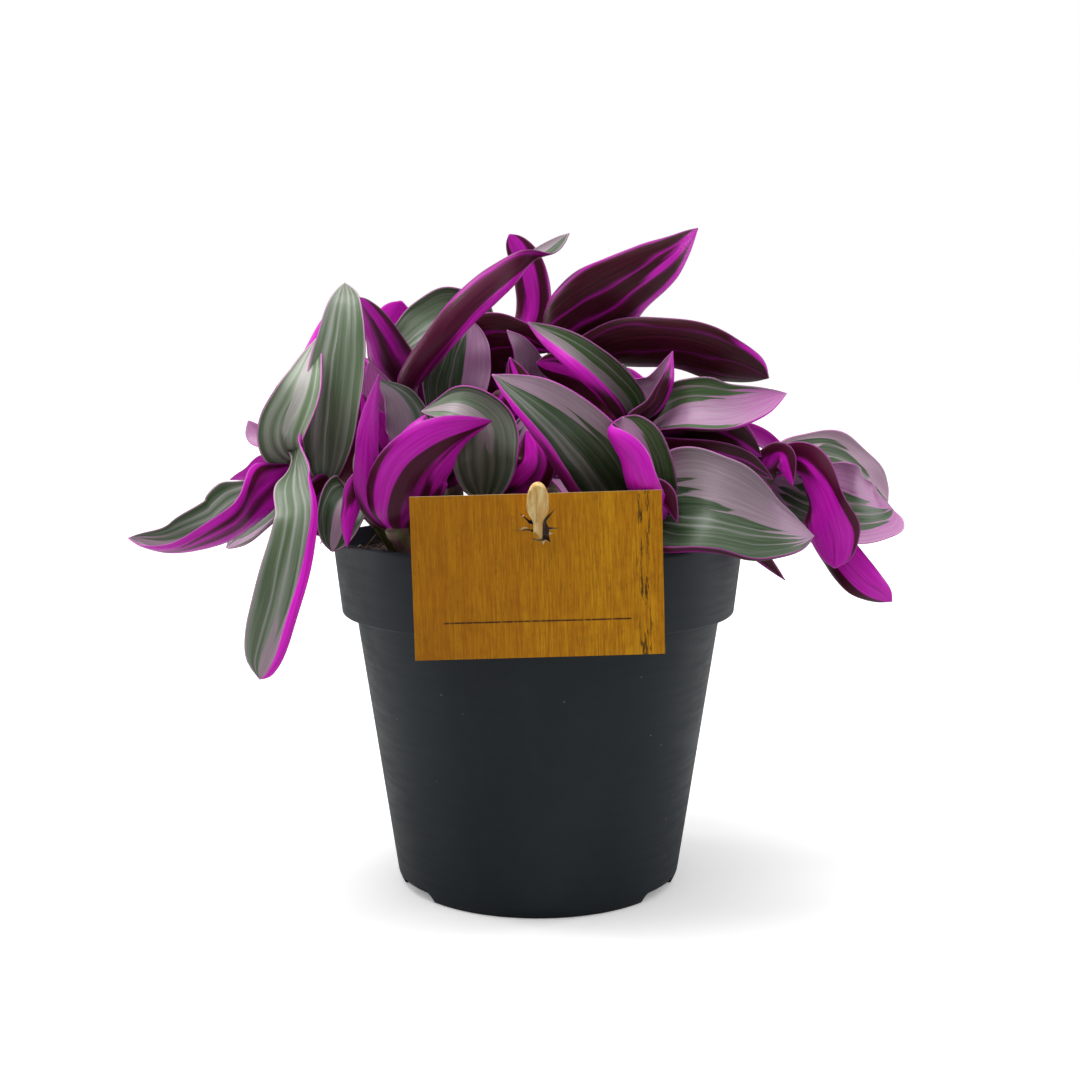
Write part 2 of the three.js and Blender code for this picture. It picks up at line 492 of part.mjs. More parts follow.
      leaf([[5, 47, 117], [1, 36, 124], [-3, 27, 126], [-6, 22, 122]], 14,
        [[0, 0.1, 1]]),
    ],
  },
  back_right: {
    stem: [[22, 26, 88], [30, 36, 108], [38, 44, 118], [42, 46, 126]],
    leaves: [
      leaf([[38, 44, 118], [54, 46, 128], [70, 46, 128], [86, 42, 118]], 20,
        [[0, 0.4, 1]]),
      leaf([[34, 40, 113], [38, 52, 116], [42, 63, 107], [44, 70, 92]], 20,
        [[0, 0.5, 1], [0, 1, 0.3]]),
      leaf([[41, 46, 124], [36, 52, 136], [30, 52, 146], [24, 46, 152]], 15,
        [[0, 1, 0.2]]),
      leaf([[42, 46, 126], [52, 44, 134], [62, 42, 138], [72, 44, 136]], 14,
        [[0.2, 0.4, 1]]),
      leaf([[27, 33, 103], [46, 40, 112], [62, 42, 106], [76, 44, 94]], 17,
        [[0.2, 0.2, 1]]),
      leaf([[34, 40, 113], [30, 32, 124], [34, 26, 132], [40, 24, 140]], 14,
        [[0.2, 0.6, 1]]),
    ],
  },
};

// ---- name card with a small opening, and the stick through it ---------------------------
const stickTurn = new THREE.Matrix4().makeTranslation(0, STICK.y, STICK.z)
  .multiply(new THREE.Matrix4().makeRotationX((90 + STICK.lean) * RAD));
const blade = new THREE.Shape();
blade.moveTo(-STICK.neck / 2, -STICK.foot);
blade.lineTo(STICK.neck / 2, -STICK.foot);
blade.lineTo(STICK.neck / 2, 2);
blade.bezierCurveTo(STICK.neck / 2, 4, STICK.w / 2, 5, STICK.w / 2, 8);
blade.bezierCurveTo(STICK.w / 2, 12, STICK.w / 2 - 1, STICK.top, 0, STICK.top);
blade.bezierCurveTo(-STICK.w / 2 + 1, STICK.top, -STICK.w / 2, 12, -STICK.w / 2, 8);
blade.bezierCurveTo(-STICK.w / 2, 5, -STICK.neck / 2, 4, -STICK.neck / 2, 2);
const stickGeometry = new THREE.ExtrudeGeometry(blade, {
  depth: STICK.t, bevelEnabled: false, curveSegments: 5,
}).translate(0, 0, -STICK.t / 2);
const stick = solid(stickGeometry, stickTurn);

const face = new THREE.Shape();
face.moveTo(-CARD.w / 2, -CARD.h / 2);
face.lineTo(CARD.w / 2, -CARD.h / 2);
face.lineTo(CARD.w / 2, CARD.h / 2);
face.lineTo(-CARD.w / 2, CARD.h / 2);
const OPENING = [[-2, 8.8], [-2.2, 14.8], [0.2, 15.4], [2.6, 14.8], [3.5, 11.6], [2.6, 8.8]];
face.holes.push(new THREE.Path(OPENING.map(([x, z]) => new THREE.Vector2(x, z))));
const cardGeometry = new THREE.ExtrudeGeometry(face, { depth: CARD.t, bevelEnabled: false });
const cardTurn = new THREE.Matrix4().makeTranslation(0, CARD.y + CARD.t / 2, CARD.z)
  .multiply(new THREE.Matrix4().makeRotationY(-CARD.tilt * RAD))
  .multiply(new THREE.Matrix4().makeRotationX(90 * RAD));
const card = solid(cardGeometry, cardTurn);

// ---- potting mix: fills the pot, with a plain hole for every stem and for the stick ------
const SOIL_R = RIM_R - WALL - 1; // its radius at the top
const soilSide = [
  [inner[0][0] - GAP, inner[0][1] + GAP], [inner[1][0] - GAP, inner[1][1] + 0.1],
  [inner[2][0] - GAP, inner[2][1] + 0.1], [SOIL_R, SOIL_Z],
];
const soilTop = [1, 0.9, 0.7, 0.45, 0.2, 0].map((k) => [
  SOIL_R * k, SOIL_Z + SOIL_RISE * (1 - k * k) + (k > 0 && k < 1 ? SOIL_WAVE * Math.sin(k * 23) : 0),
]);
let soil = solid(revolve([[0, inner[0][1] + GAP], ...soilSide, ...soilTop.slice(1)], 30));
for (const { stem } of Object.values(SHOOTS)) soil = soil.subtract(stemSolid(stem, GAP, GAP));
const holeShape = new THREE.BoxGeometry(STICK.neck + 2 * GAP, STICK.foot, STICK.t + 2 * GAP)
  .translate(0, -STICK.foot / 2 - GAP, 0);
soil = soil.subtract(solid(holeShape, stickTurn));

// ---- the part ----------------------------------------------------------------------------
add('pot', pot, COLOURS.pot, 0.45);
add('soil', soil, COLOURS.soil, 0.95);
for (const [name, { stem, leaves }] of Object.entries(SHOOTS)) {
  const shoot = leaves.reduce((body, spec) => body.add(bladeSolid(spec)), stemSolid(stem));
  add(`shoot_${name}`, shoot.simplify(0.06), COLOURS.plant, 0.5);
}
add('card', card, COLOURS.card, 0.6);
add('stick', stick, COLOURS.stick, 0.7);

export default group;
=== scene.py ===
"""A potted tradescantia: a round nursery pot filled with potting mix, twelve leafy shoots,
and a plain wooden name card that a flat stick holds against the front of the rim."""

import math
import random

import bmesh
import bpy
import numpy as np
from mathutils import Matrix, Vector
from mathutils.geometry import delaunay_2d_cdt


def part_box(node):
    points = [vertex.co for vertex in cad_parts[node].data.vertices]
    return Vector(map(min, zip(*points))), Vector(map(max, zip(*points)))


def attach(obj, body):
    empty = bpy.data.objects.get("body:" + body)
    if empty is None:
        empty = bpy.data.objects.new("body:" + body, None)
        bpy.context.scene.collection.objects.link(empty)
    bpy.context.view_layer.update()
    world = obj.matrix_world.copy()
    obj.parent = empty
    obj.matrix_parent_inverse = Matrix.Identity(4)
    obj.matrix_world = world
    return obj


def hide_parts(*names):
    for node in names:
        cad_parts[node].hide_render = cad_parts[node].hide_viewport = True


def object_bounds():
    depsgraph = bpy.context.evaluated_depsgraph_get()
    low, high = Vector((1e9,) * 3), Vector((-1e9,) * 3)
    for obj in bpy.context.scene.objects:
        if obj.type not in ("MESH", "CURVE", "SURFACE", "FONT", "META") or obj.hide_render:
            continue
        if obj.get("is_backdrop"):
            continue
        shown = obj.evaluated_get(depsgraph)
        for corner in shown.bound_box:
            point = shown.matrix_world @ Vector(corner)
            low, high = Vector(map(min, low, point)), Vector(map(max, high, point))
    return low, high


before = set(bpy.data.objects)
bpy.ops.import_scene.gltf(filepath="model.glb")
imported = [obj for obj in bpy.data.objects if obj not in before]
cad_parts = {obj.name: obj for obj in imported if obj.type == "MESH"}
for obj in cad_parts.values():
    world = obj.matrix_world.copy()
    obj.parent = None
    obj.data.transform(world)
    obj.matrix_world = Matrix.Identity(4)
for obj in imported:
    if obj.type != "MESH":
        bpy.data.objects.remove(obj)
cad_box = [list(map(float, corner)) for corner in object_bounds()]
MM = 0.001  # lengths below are in millimetres, and go into the meshes times MM


# ---- Pot ---------------------------------------------------------------------------------
# An injection-moulded nursery pot of dark blue-grey polypropylene: one thin tapering wall, a
# band under the rim where the next pot of a stack sits, and a raised floor on a foot ring.
# It is turned from its profile, and the foot notches and drain holes are then cut out.
POT_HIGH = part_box("pot")[1][2] / MM
RIM_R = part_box("pot")[1][0] / MM
POT_WALL = 1.3
LIP_Z, LIP_R = 80.2, 57.6
BODY_R, FOOT_R = 53.7, 41.6
FLOOR_Z, FLOOR_R = 3.0, BODY_R - 12.6  # its underside, and its radius inside the wall
NOTCH_HIGH, NOTCH_WIDE, NOTCH_DEEP = 2.8, 20.0, 8.0
NOTCH_ROUND, NOTCH_SLANT = 1.6, 0.4  # of its upper corners, and of each side
NOTCH_TURNS = (60, 180, 300)
DRAIN_R, DRAIN_AT = 3.5, FOOT_R - 8.6
POT_SEGMENTS = 160

POT_OUTSIDE = [  # radius, height, and how far the corner is rounded off
    (0, FLOOR_Z, 0), (FOOT_R - 4.2, FLOOR_Z, 0.5), (FOOT_R - 3.4, 0, 0.4), (FOOT_R - 1.0, 0, 0.5),
    (FOOT_R + 0.3, 2.6, 1.0), (BODY_R, LIP_Z + 0.8, 0.5), (LIP_R - 0.5, LIP_Z, 0.3),
    (LIP_R, LIP_Z + 0.5, 0.3), (RIM_R, POT_HIGH - 1.2, 0.5), (RIM_R - 0.5, POT_HIGH, 0.5),
]
POT_INSIDE = [
    (RIM_R - POT_WALL, POT_HIGH - 0.5, 0.4), (LIP_R - POT_WALL + 0.3, LIP_Z + 3, 0.8),
    (BODY_R - POT_WALL, LIP_Z + 1.6, 0.8), (FLOOR_R, FLOOR_Z + POT_WALL, 1.5),
    (0, FLOOR_Z + POT_WALL, 0),
]


def rounded(profile, steps=4):
    """The profile's points, with an arc of a few points in place of each rounded corner."""
    points = [Vector(p[:2]) for p in profile]
    path = [points[0]]
    for before, corner, after, (_, _, reach) in zip(points, points[1:], points[2:], profile[1:]):
        start = corner + (before - corner).normalized() * reach
        end = corner + (after - corner).normalized() * reach
        for k in range(steps + 1 if reach else 1):
            w = k / steps
            path.append(start * (1 - w) ** 2 + corner * 2 * w * (1 - w) + end * w ** 2)
    return path + [points[-1]]


def turned(name, profile, segments):
    """A closed solid turned round the Z axis from a profile that runs from axis to axis."""
    shape = bmesh.new()
    rings = []
    for point in profile:
        if point.x < 1e-6:
            rings.append([shape.verts.new((0, 0, point.y * MM))])
            continue
        turns = (2 * math.pi * k / segments for k in range(segments))
        rings.append([shape.verts.new((point.x * MM * math.cos(a), point.x * MM * math.sin(a),
                                       point.y * MM)) for a in turns])
    for low, high in zip(rings, rings[1:]):
        for k in range(segments):
            corners = [low[k % len(low)], low[(k + 1) % len(low)],
                       high[(k + 1) % len(high)], high[k % len(high)]]
            shape.faces.new(list(dict.fromkeys(corners)))
    bmesh.ops.recalc_face_normals(shape, faces=shape.faces)
    return placed(name, shape)


def in_scene(name, data):
    """An object at the origin that shows this mesh, lamp or camera."""
    piece = bpy.data.objects.new(name, data)
    bpy.context.scene.collection.objects.link(piece)
    return piece


def placed(name, shape):
    """Puts a bmesh into the scene as an object at the origin."""
    mesh = bpy.data.meshes.new(name)
    shape.to_mesh(mesh)
    shape.free()
    return in_scene(name, mesh)


def as_mesh(piece):
    """Replaces a piece's modifiers by the plain mesh that they make."""
    seen = piece.evaluated_get(bpy.context.evaluated_depsgraph_get())
    mesh = bpy.data.meshes.new_from_object(seen)
    piece.modifiers.clear()
    piece.data = mesh
    return piece


def smooth(piece, sharp_from):
    """Shades the piece smooth, with an edge kept wherever it turns more than sharp_from degrees."""
    piece.data.shade_smooth()
    piece.data.set_sharp_from_angle(angle=math.radians(sharp_from))


def cut(piece, cutter):
    """Cuts the cutter's solid out of the piece and drops the cutter."""
    knife = piece.modifiers.new("cut", "BOOLEAN")
    knife.operation, knife.solver, knife.object = "DIFFERENCE", "EXACT", cutter
    as_mesh(piece)
    bpy.data.objects.remove(cutter)


def prism(name, outline, depth, placement):
    """A straight solid: the outline's points in its own XY plane, raised by depth along Z."""
    shape = bmesh.new()
    low = [shape.verts.new((x * MM, y * MM, 0)) for x, y in outline]
    high = [shape.verts.new((x * MM, y * MM, depth * MM)) for x, y in outline]
    shape.faces.new(low[::-1])
    shape.faces.new(high)
    for k in range(len(low)):
        m = (k + 1) % len(low)
        shape.faces.new((low[k], low[m], high[m], high[k]))
    bmesh.ops.transform(shape, matrix=placement, verts=shape.verts)
    bmesh.ops.recalc_face_normals(shape, faces=shape.faces)
    return placed(name, shape)


def add_node(tree, kind, inputs=None, **settings):
    """Adds a node with its settings; each input takes a plain value or another node's output."""
    node = tree.nodes.new(kind)
    for name, value in settings.items():
        setattr(node, name, value)
    for key, value in (inputs or {}).items():
        if isinstance(value, bpy.types.NodeSocket):
            tree.links.new(value, node.inputs[key])
        else:
            node.inputs[key].default_value = value
    return node


def calc(tree, operation, *values):
    """One step of arithmetic on values or outputs."""
    return add_node(tree, "ShaderNodeMath", dict(enumerate(values)), operation=operation).outputs[0]


def times(tree, first, second):
    """The product of two values or outputs."""
    return calc(tree, "MULTIPLY", first, second)


def axes(tree, vector):
    """The X, Y and Z of a vector."""
    return add_node(tree, "ShaderNodeSeparateXYZ", {0: vector}).outputs


def fade(tree, value, start, end, low=0.0, high=1.0):
    """Goes smoothly from low to high as the value goes from start to end."""
    inputs = {0: value, 1: start, 2: end, 3: low, 4: high}
    return add_node(tree, "ShaderNodeMapRange", inputs, interpolation_type="SMOOTHSTEP").outputs[0]


def mixed(tree, share, first, second):
    """Mixes two colours, of which share is the part of the second."""
    return add_node(tree, "ShaderNodeMix", {0: share, 6: first, 7: second}, data_type="RGBA").outputs[2]


def noise(tree, place, scale, detail=3.0, roughness=0.55):
    """The value of a noise texture."""
    inputs = {"Vector": place, "Scale": scale, "Detail": detail, "Roughness": roughness}
    return add_node(tree, "ShaderNodeTexNoise", inputs).outputs[0]


def colour(red, green, blue):
    """A colour from 0 to 255 as the eye sees it, in the linear values that a shader takes."""
    return (*[((c / 255 + 0.055) / 1.055) ** 2.4 if c > 10 else c / 255 / 12.92
              for c in (red, green, blue)], 1.0)


def new_material(name, **settings):
    """An empty material with its Principled shader, whose plain values are set by name."""
    material = bpy.data.materials.new(name)
    material.use_nodes = True
    tree = material.node_tree
    tree.nodes.clear()
    shader = add_node(tree, "ShaderNodeBsdfPrincipled", settings)
    output = add_node(tree, "ShaderNodeOutputMaterial")
    tree.links.new(shader.outputs[0], output.inputs[0])
    return material, tree, shader


def dress(tree, shader, tint, roughness, normal):
    """Gives a shader its colour, roughness and normal."""
    for label, value in (("Base Color", tint), ("Roughness", roughness), ("Normal", normal)):
        tree.links.new(value, shader.inputs[label])


def shader_group(name, inputs, outputs):
    """A shader node group: inputs with a default, or None for a vector, and the float outputs."""
    tree = bpy.data.node_groups.new(name, "ShaderNodeTree")
    for label, value in inputs.items():
        kind = "NodeSocketVector" if value is None else "NodeSocketFloat"
        socket = tree.interface.new_socket(label, in_out="INPUT", socket_type=kind)
        if value is not None:
            socket.default_value = value
    for label in outputs:
        tree.interface.new_socket(label, in_out="OUTPUT", socket_type="NodeSocketFloat")
    return tree, add_node(tree, "NodeGroupInput").outputs, add_node(tree, "NodeGroupOutput").inputs


def use_group(tree, group, inputs):
    """Places a node group in a material and returns its outputs."""
    return add_node(tree, "ShaderNodeGroup", inputs, node_tree=group).outputs


def bump(tree, height, depth_mm, strength, under=None):
    """A bump normal whose full height is depth_mm, laid over another one where given."""
    inputs = {"Height": height, "Distance": depth_mm * MM, "Strength": strength}
    if under is not None:
        inputs["Normal"] = under
    return add_node(tree, "ShaderNodeBump", inputs).outputs[0]


def mapped(tree, place, **settings):
    """A place moved, turned or scaled."""
    return add_node(tree, "ShaderNodeMapping", {"Vector": place, **settings}).outputs[0]


def object_place(tree, stretch=(1, 1, 1)):
    """Object coordinates in millimetres, stretched along the axes."""
    place = add_node(tree, "ShaderNodeTexCoord").outputs["Object"]
    return mapped(tree, place, Scale=tuple(k / MM for k in stretch))


# Dust and handling marks, which lie on the pot and the stick.
dust_group, given, out = shader_group("dust", {"Place": None, "Amount": 0.3}, ("Specks", "Film"))
speckle = add_node(dust_group, "ShaderNodeTexVoronoi", {"Vector": given["Place"], "Scale": 0.16})
near = fade(dust_group, speckle.outputs["Distance"], 0.015, 0.05, 1, 0)
kept = calc(dust_group, "GREATER_THAN", noise(dust_group, given["Place"], 0.09), 0.52)
specks = times(dust_group, times(dust_group, near, kept), given["Amount"])
dust_group.links.new(specks, out["Specks"])
film = fade(dust_group, noise(dust_group, given["Place"], 0.03, 5, 0.65), 0.42, 0.72)
dust_group.links.new(times(dust_group, film, given["Amount"]), out["Film"])

pot = turned("pot_shell", rounded(POT_OUTSIDE + POT_INSIDE), POT_SEGMENTS)
half = NOTCH_WIDE / 2
notch_arch = [(-half, -1), (half, -1)]
notch_arch += [(half - NOTCH_ROUND * (1 - math.cos(a)) - NOTCH_SLANT,
                NOTCH_HIGH - NOTCH_ROUND * (1 - math.sin(a))) for a in np.linspace(0, math.pi / 2, 7)]
notch_arch += [(-x, y) for x, y in notch_arch[:1:-1]]
drain_ring = [(DRAIN_R * math.cos(a), DRAIN_R * math.sin(a)) for a in np.linspace(0, 2 * math.pi, 33)[:-1]]
for turn in NOTCH_TURNS:
    spin = Matrix.Rotation(math.radians(turn), 4, "Z")
    upright = Matrix.Translation((0, (-FOOT_R + NOTCH_DEEP) * MM, 0)) @ Matrix.Rotation(math.pi / 2, 4, "X")
    cut(pot, prism("notch", notch_arch, NOTCH_DEEP + 6, spin @ upright))
    outward = Matrix.Translation((0, -DRAIN_AT * MM, 0))
    cut(pot, prism("drain", drain_ring, FLOOR_Z + 5, spin @ outward))
smooth(pot, 40)

pot_plastic, tree, shader = new_material("pot_plastic", IOR=1.49, **{"Specular IOR Level": 0.28})
place = object_place(tree)
dust = use_group(tree, dust_group, {"Place": place, "Amount": 0.5})
cloud = noise(tree, object_place(tree, (0.02, 0.02, 0.008)), 1, 4)
plastic = mixed(tree, fade(tree, cloud, 0.35, 0.7), colour(26, 34, 39), colour(34, 43, 49))
plastic = mixed(tree, times(tree, dust["Film"], 0.35), plastic, colour(64, 68, 70))
plastic = mixed(tree, dust["Specks"], plastic, colour(150, 150, 146))
scuffs = noise(tree, object_place(tree, (0.06, 0.06, 0.6)), 1, 4, 0.6)
satin = calc(tree, "ADD", fade(tree, scuffs, 0.3, 0.75, 0.4, 0.5), times(tree, dust["Film"], 0.3))
grain = noise(tree, place, 2.6, 2, 0.6)
rings = noise(tree, object_place(tree, (0.004, 0.004, 0.35)), 1, 3)
dress(tree, shader, plastic, satin, bump(tree, grain, 0.02, 0.6, bump(tree, rings, 0.03, 0.35)))
pot.data.materials.clear()
pot.data.materials.append(pot_plastic)
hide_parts("pot")
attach(pot, "root")


# ---- Potting mix -------------------------------------------------------------------------
# Dark peat that fills the pot to just under the rim, uneven on top, with crumbs, a few bits of
# root and bark fibre, and some white grains of perlite lying on it.
SOIL_Z, SOIL_RISE, SOIL_GAP = 96.5, 1.8, 0.3
SOIL_R = RIM_R - POT_WALL - 1
SOIL_RINGS, SOIL_SEGMENTS = 60, 150
CRUMB_SIZE, CRUMBS_PER_CM2, GRAINS_PER_CM2, FIBRES_PER_CM2 = 1.5, 10, 0.35, 1.6
CM2 = 1e-4  # in square metres
MIX_SEED = 4


def soil_level(x, y):
    """Height of the mix at a place: a low dome with lumps of several sizes."""
    out_from_middle = min(math.hypot(x, y) / SOIL_R, 1)
    lumps = sum(high * math.sin(x * fx + px) * math.sin(y * fy + py) for high, fx, px, fy, py in (
        (0.5, 0.11, 0.4, 0.13, 1.9), (0.35, 0.31, 2.2, 0.27, 0.7), (0.22, 0.74, 4.1, 0.69, 3.3),
        (0.16, 1.31, 1.2, 1.43, 5.1)))
    return SOIL_Z + SOIL_RISE * (1 - out_from_middle ** 2) + lumps * (1 - out_from_middle ** 8)


soil_side = [
    (0, FLOOR_Z + POT_WALL + SOIL_GAP), (FLOOR_R - SOIL_GAP, FLOOR_Z + POT_WALL + SOIL_GAP),
    (BODY_R - POT_WALL - SOIL_GAP, LIP_Z + 1.7), (LIP_R - POT_WALL, LIP_Z + 3.1), (SOIL_R, SOIL_Z),
]
soil_top = [(SOIL_R * k / SOIL_RINGS, SOIL_Z) for k in range(SOIL_RINGS - 1, -1, -1)]
mix_bed = turned("potting_mix", [Vector(p) for p in soil_side + soil_top], SOIL_SEGMENTS)
for vertex in mix_bed.data.vertices:
    x, y, z = (c / MM for c in vertex.co)
    if z > SOIL_Z - 0.01:
        vertex.co.z = soil_level(x, y) * MM
smooth(mix_bed, 60)


def geometry_tree(name, inputs):
    """A Geometry Nodes tree from geometry to geometry, with its other inputs and their defaults."""
    tree = bpy.data.node_groups.new(name, "GeometryNodeTree")
    tree.interface.new_socket("Geometry", in_out="INPUT", socket_type="NodeSocketGeometry")
    tree.interface.new_socket("Geometry", in_out="OUTPUT", socket_type="NodeSocketGeometry")
    for label, value in inputs.items():
        kind = {float: "NodeSocketFloat", int: "NodeSocketInt"}.get(type(value), "NodeSocketMaterial")
        socket = tree.interface.new_socket(label, in_out="INPUT", socket_type=kind)
        if value is not None:
            socket.default_value = value
    return tree, add_node(tree, "NodeGroupInput").outputs, add_node(tree, "NodeGroupOutput").inputs


def grown(piece, tree, inputs):
    """Runs a Geometry Nodes tree on the piece with these inputs, and keeps the plain mesh."""
    modifier = piece.modifiers.new(tree.name, "NODES")
    modifier.node_group = tree
    sockets = {s.name: s.identifier for s in tree.interface.items_tree if s.in_out == "INPUT"}
    for label, value in inputs.items():
        modifier[sockets[label]] = value
    return as_mesh(piece)


def random_value(tree, low, high, seed):
    """A random number for each copy."""
    inputs = {2: low, 3: high, "Seed": seed}
    return add_node(tree, "FunctionNodeRandomValue", inputs, data_type="FLOAT").outputs[1]


def faced(tree, geometry, material):
    """The geometry with one material all over."""
    inputs = {"Geometry": geometry, "Material": material}
    return add_node(tree, "GeometryNodeSetMaterial", inputs).outputs[0]


def made_real(tree, geometry):
    """The geometry with its instances turned into plain faces."""
    return add_node(tree, "GeometryNodeRealizeInstances", {0: geometry}).outputs[0]


def joined(tree, *parts):
    """Several geometries as one."""
    whole = add_node(tree, "GeometryNodeJoinGeometry")
    for part in parts:
        tree.links.new(part, whole.inputs[0])
    return whole.outputs[0]


def scattered(tree, given, bits, density, seed, size, flat):
    """Copies of one small mesh strewn on the upward faces, turned and scaled at random."""
    upward = axes(tree, add_node(tree, "GeometryNodeInputNormal").outputs[0])[2]
    spread = add_node(tree, "GeometryNodeDistributePointsOnFaces", {
        "Mesh": given["Geometry"], "Density": density, "Seed": seed,
        "Selection": add_node(tree, "FunctionNodeCompare", {0: upward, 1: 0.5}).outputs[0],
    })
    turn = add_node(tree, "FunctionNodeRandomValue", {
        "Min": (0, 0, 0), "Max": (0.9, 0.9, 6.28), "Seed": seed}, data_type="FLOAT_VECTOR").outputs[0]
    grow = random_value(tree, 0.35, 1.3, seed)
    shape = add_node(tree, "ShaderNodeCombineXYZ", {0: size, 1: size, 2: times(tree, size, flat)})
    scale = add_node(tree, "ShaderNodeVectorMath", {0: shape.outputs[0], "Scale": grow}, operation="SCALE")
    strewn = add_node(tree, "GeometryNodeInstanceOnPoints", {
        "Points": spread.outputs["Points"], "Instance": bits, "Rotation": turn, "Scale": scale.outputs[0]})
    return made_real(tree, strewn.outputs[0])


strew, given, out = geometry_tree("strewn_mix", {
    "Crumb size": CRUMB_SIZE * MM, "Crumbs": 1.0, "Grains": 1.0, "Fibres": 1.0, "Seed": MIX_SEED,
    "Peat": None, "Perlite": None, "Fibre": None})
ball = add_node(strew, "GeometryNodeMeshIcoSphere", {"Radius": 0.5, "Subdivisions": 2}).outputs[0]
crumbs = scattered(strew, given, ball, given["Crumbs"], given["Seed"], given["Crumb size"], 0.75)
where = add_node(strew, "GeometryNodeInputPosition").outputs[0]
lump = add_node(strew, "ShaderNodeTexNoise", {"Vector": where, "Scale": 900.0, "Detail": 1.0}).outputs[1]
middle = {0: lump, 1: (0.5, 0.5, 0.5)}
shift = add_node(strew, "ShaderNodeVectorMath", middle, operation="SUBTRACT").outputs[0]
shift = add_node(strew, "ShaderNodeVectorMath", {0: shift, "Scale": 1.6 * MM}, operation="SCALE").outputs[0]
crumbs = add_node(strew, "GeometryNodeSetPosition", {"Geometry": crumbs, "Offset": shift}).outputs[0]
grain_seed = calc(strew, "ADD", given["Seed"], 11)
grains = scattered(strew, given, ball, given["Grains"], grain_seed, given["Crumb size"], 0.8)
grains = add_node(strew, "GeometryNodeSetPosition", {"Geometry": grains, "Offset": shift}).outputs[0]
bow = add_node(strew, "GeometryNodeCurveQuadraticBezier", {
    "Resolution": 5, "Start": (-2.6, 0, 0), "Middle": (0, 1.4, 0.9), "End": (2.4, -0.4, 0.1)})
round_bar = add_node(strew, "GeometryNodeCurvePrimitiveCircle", {"Resolution": 5, "Radius": 0.09})
thread = add_node(strew, "GeometryNodeCurveToMesh", {
    0: bow.outputs[0], 1: round_bar.outputs[0], "Fill Caps": True}).outputs[0]
fibre_seed = calc(strew, "ADD", given["Seed"], 23)
fibres = scattered(strew, given, thread, given["Fibres"], fibre_seed, given["Crumb size"], 1.0)
whole = joined(strew, faced(strew, given["Geometry"], given["Peat"]), faced(strew, crumbs, given["Peat"]),
               faced(strew, grains, given["Perlite"]), faced(strew, fibres, given["Fibre"]))
strew.links.new(made_real(strew, whole), out["Geometry"])

peat, tree, shader = new_material("peat")
place = object_place(tree)
patch = noise(tree, place, 0.7, 4, 0.6)
dark = mixed(tree, fade(tree, patch, 0.35, 0.68), colour(24, 16, 12), colour(62, 43, 31))
dark = mixed(tree, fade(tree, noise(tree, place, 2.4, 2), 0.62, 0.7), dark, colour(98, 72, 50))
dress(tree, shader, dark, fade(tree, noise(tree, place, 0.2), 0.4, 0.6, 0.75, 0.95),
      bump(tree, noise(tree, place, 3.0, 4, 0.7), 0.35, 0.8))

perlite, tree, shader = new_material("perlite")
place = object_place(tree)
white = mixed(tree, noise(tree, place, 1.5), colour(178, 172, 160), colour(232, 228, 218))
dress(tree, shader, white, fade(tree, noise(tree, place, 2), 0.3, 0.7, 0.6, 0.85),
      bump(tree, noise(tree, place, 5, 2), 0.15, 0.8))

root_fibre, tree, shader = new_material("root_fibre")
place = object_place(tree, (1, 1, 4))
straw = mixed(tree, noise(tree, place, 0.8), colour(84, 58, 36), colour(142, 106, 68))
dress(tree, shader, straw, fade(tree, noise(tree, place, 2), 0.3, 0.7, 0.6, 0.85),
      bump(tree, noise(tree, place, 4, 2), 0.08, 0.7))

grown(mix_bed, strew, {
    "Crumb size": CRUMB_SIZE * MM, "Crumbs": CRUMBS_PER_CM2 / CM2, "Grains": GRAINS_PER_CM2 / CM2,
    "Fibres": FIBRES_PER_CM2 / CM2, "Seed": MIX_SEED, "Peat": peat, "Perlite": perlite,
    "Fibre": root_fibre})
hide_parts("soil")
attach(mix_bed, "root")


# ---- Leafy shoots ------------------------------------------------------------------------
# Twelve fleshy stems that stand in the mix. Each bears thin boat-shaped leaves, whose bases
# clasp the stem in a short sheath. A leaf is silver, green and pink above and magenta below,
# and where it is green above, the same stripes are maroon below.
LEAF_THICK, LEAF_EDGE_THICK = 0.75, 0.3
LEAF_ROWS, LEAF_COLUMNS = 64, 26
LEAF_THINNEST = 0.12  # half the breadth at a leaf's tip
MIDRIB_DEEP, MIDRIB_WIDE = 0.3, 0.55
ROLL_WIDE = 0.2  # of half a blade, where its margin rolls over
RIPPLES = 2.5  # along one margin
UNEVEN = 0.035  # of a margin's distance from the midrib
STRIPE_WIDE = 3.4  # of the green stripes between the main veins
STEM_R, STEM_TIP_R, NODE_SWELL, NODE_LONG = 2.35, 1.75, 0.45, 1.6
STEM_END = (0.92, 0.75, 0.4)  # how the last steps of a stem close round its tip
SHEATH_LONG, SHEATH_ABOVE, SHEATH_THICK, SHEATH_FLARE, SHEATH_LIP = 8.0, 1.2, 0.28, 0.35, 0.25
STEM_STEPS, SHEATH_STEPS = 60, 10
HAIRS_PER_CM2, HAIR_LONG = 35, 0.9
OUTLINE = [(0, 0.3), (0.05, 0.5), (0.12, 0.74), (0.22, 0.93), (0.33, 1), (0.45, 0.98), (0.58, 0.88),
           (0.7, 0.72), (0.81, 0.52), (0.9, 0.31), (0.96, 0.14), (1, 0)]
BLUNT = [(0, 0.32), (0.08, 0.5), (0.2, 0.68), (0.36, 0.86), (0.52, 0.97), (0.68, 1), (0.8, 0.95),
         (0.9, 0.76), (0.96, 0.48), (1, 0)]


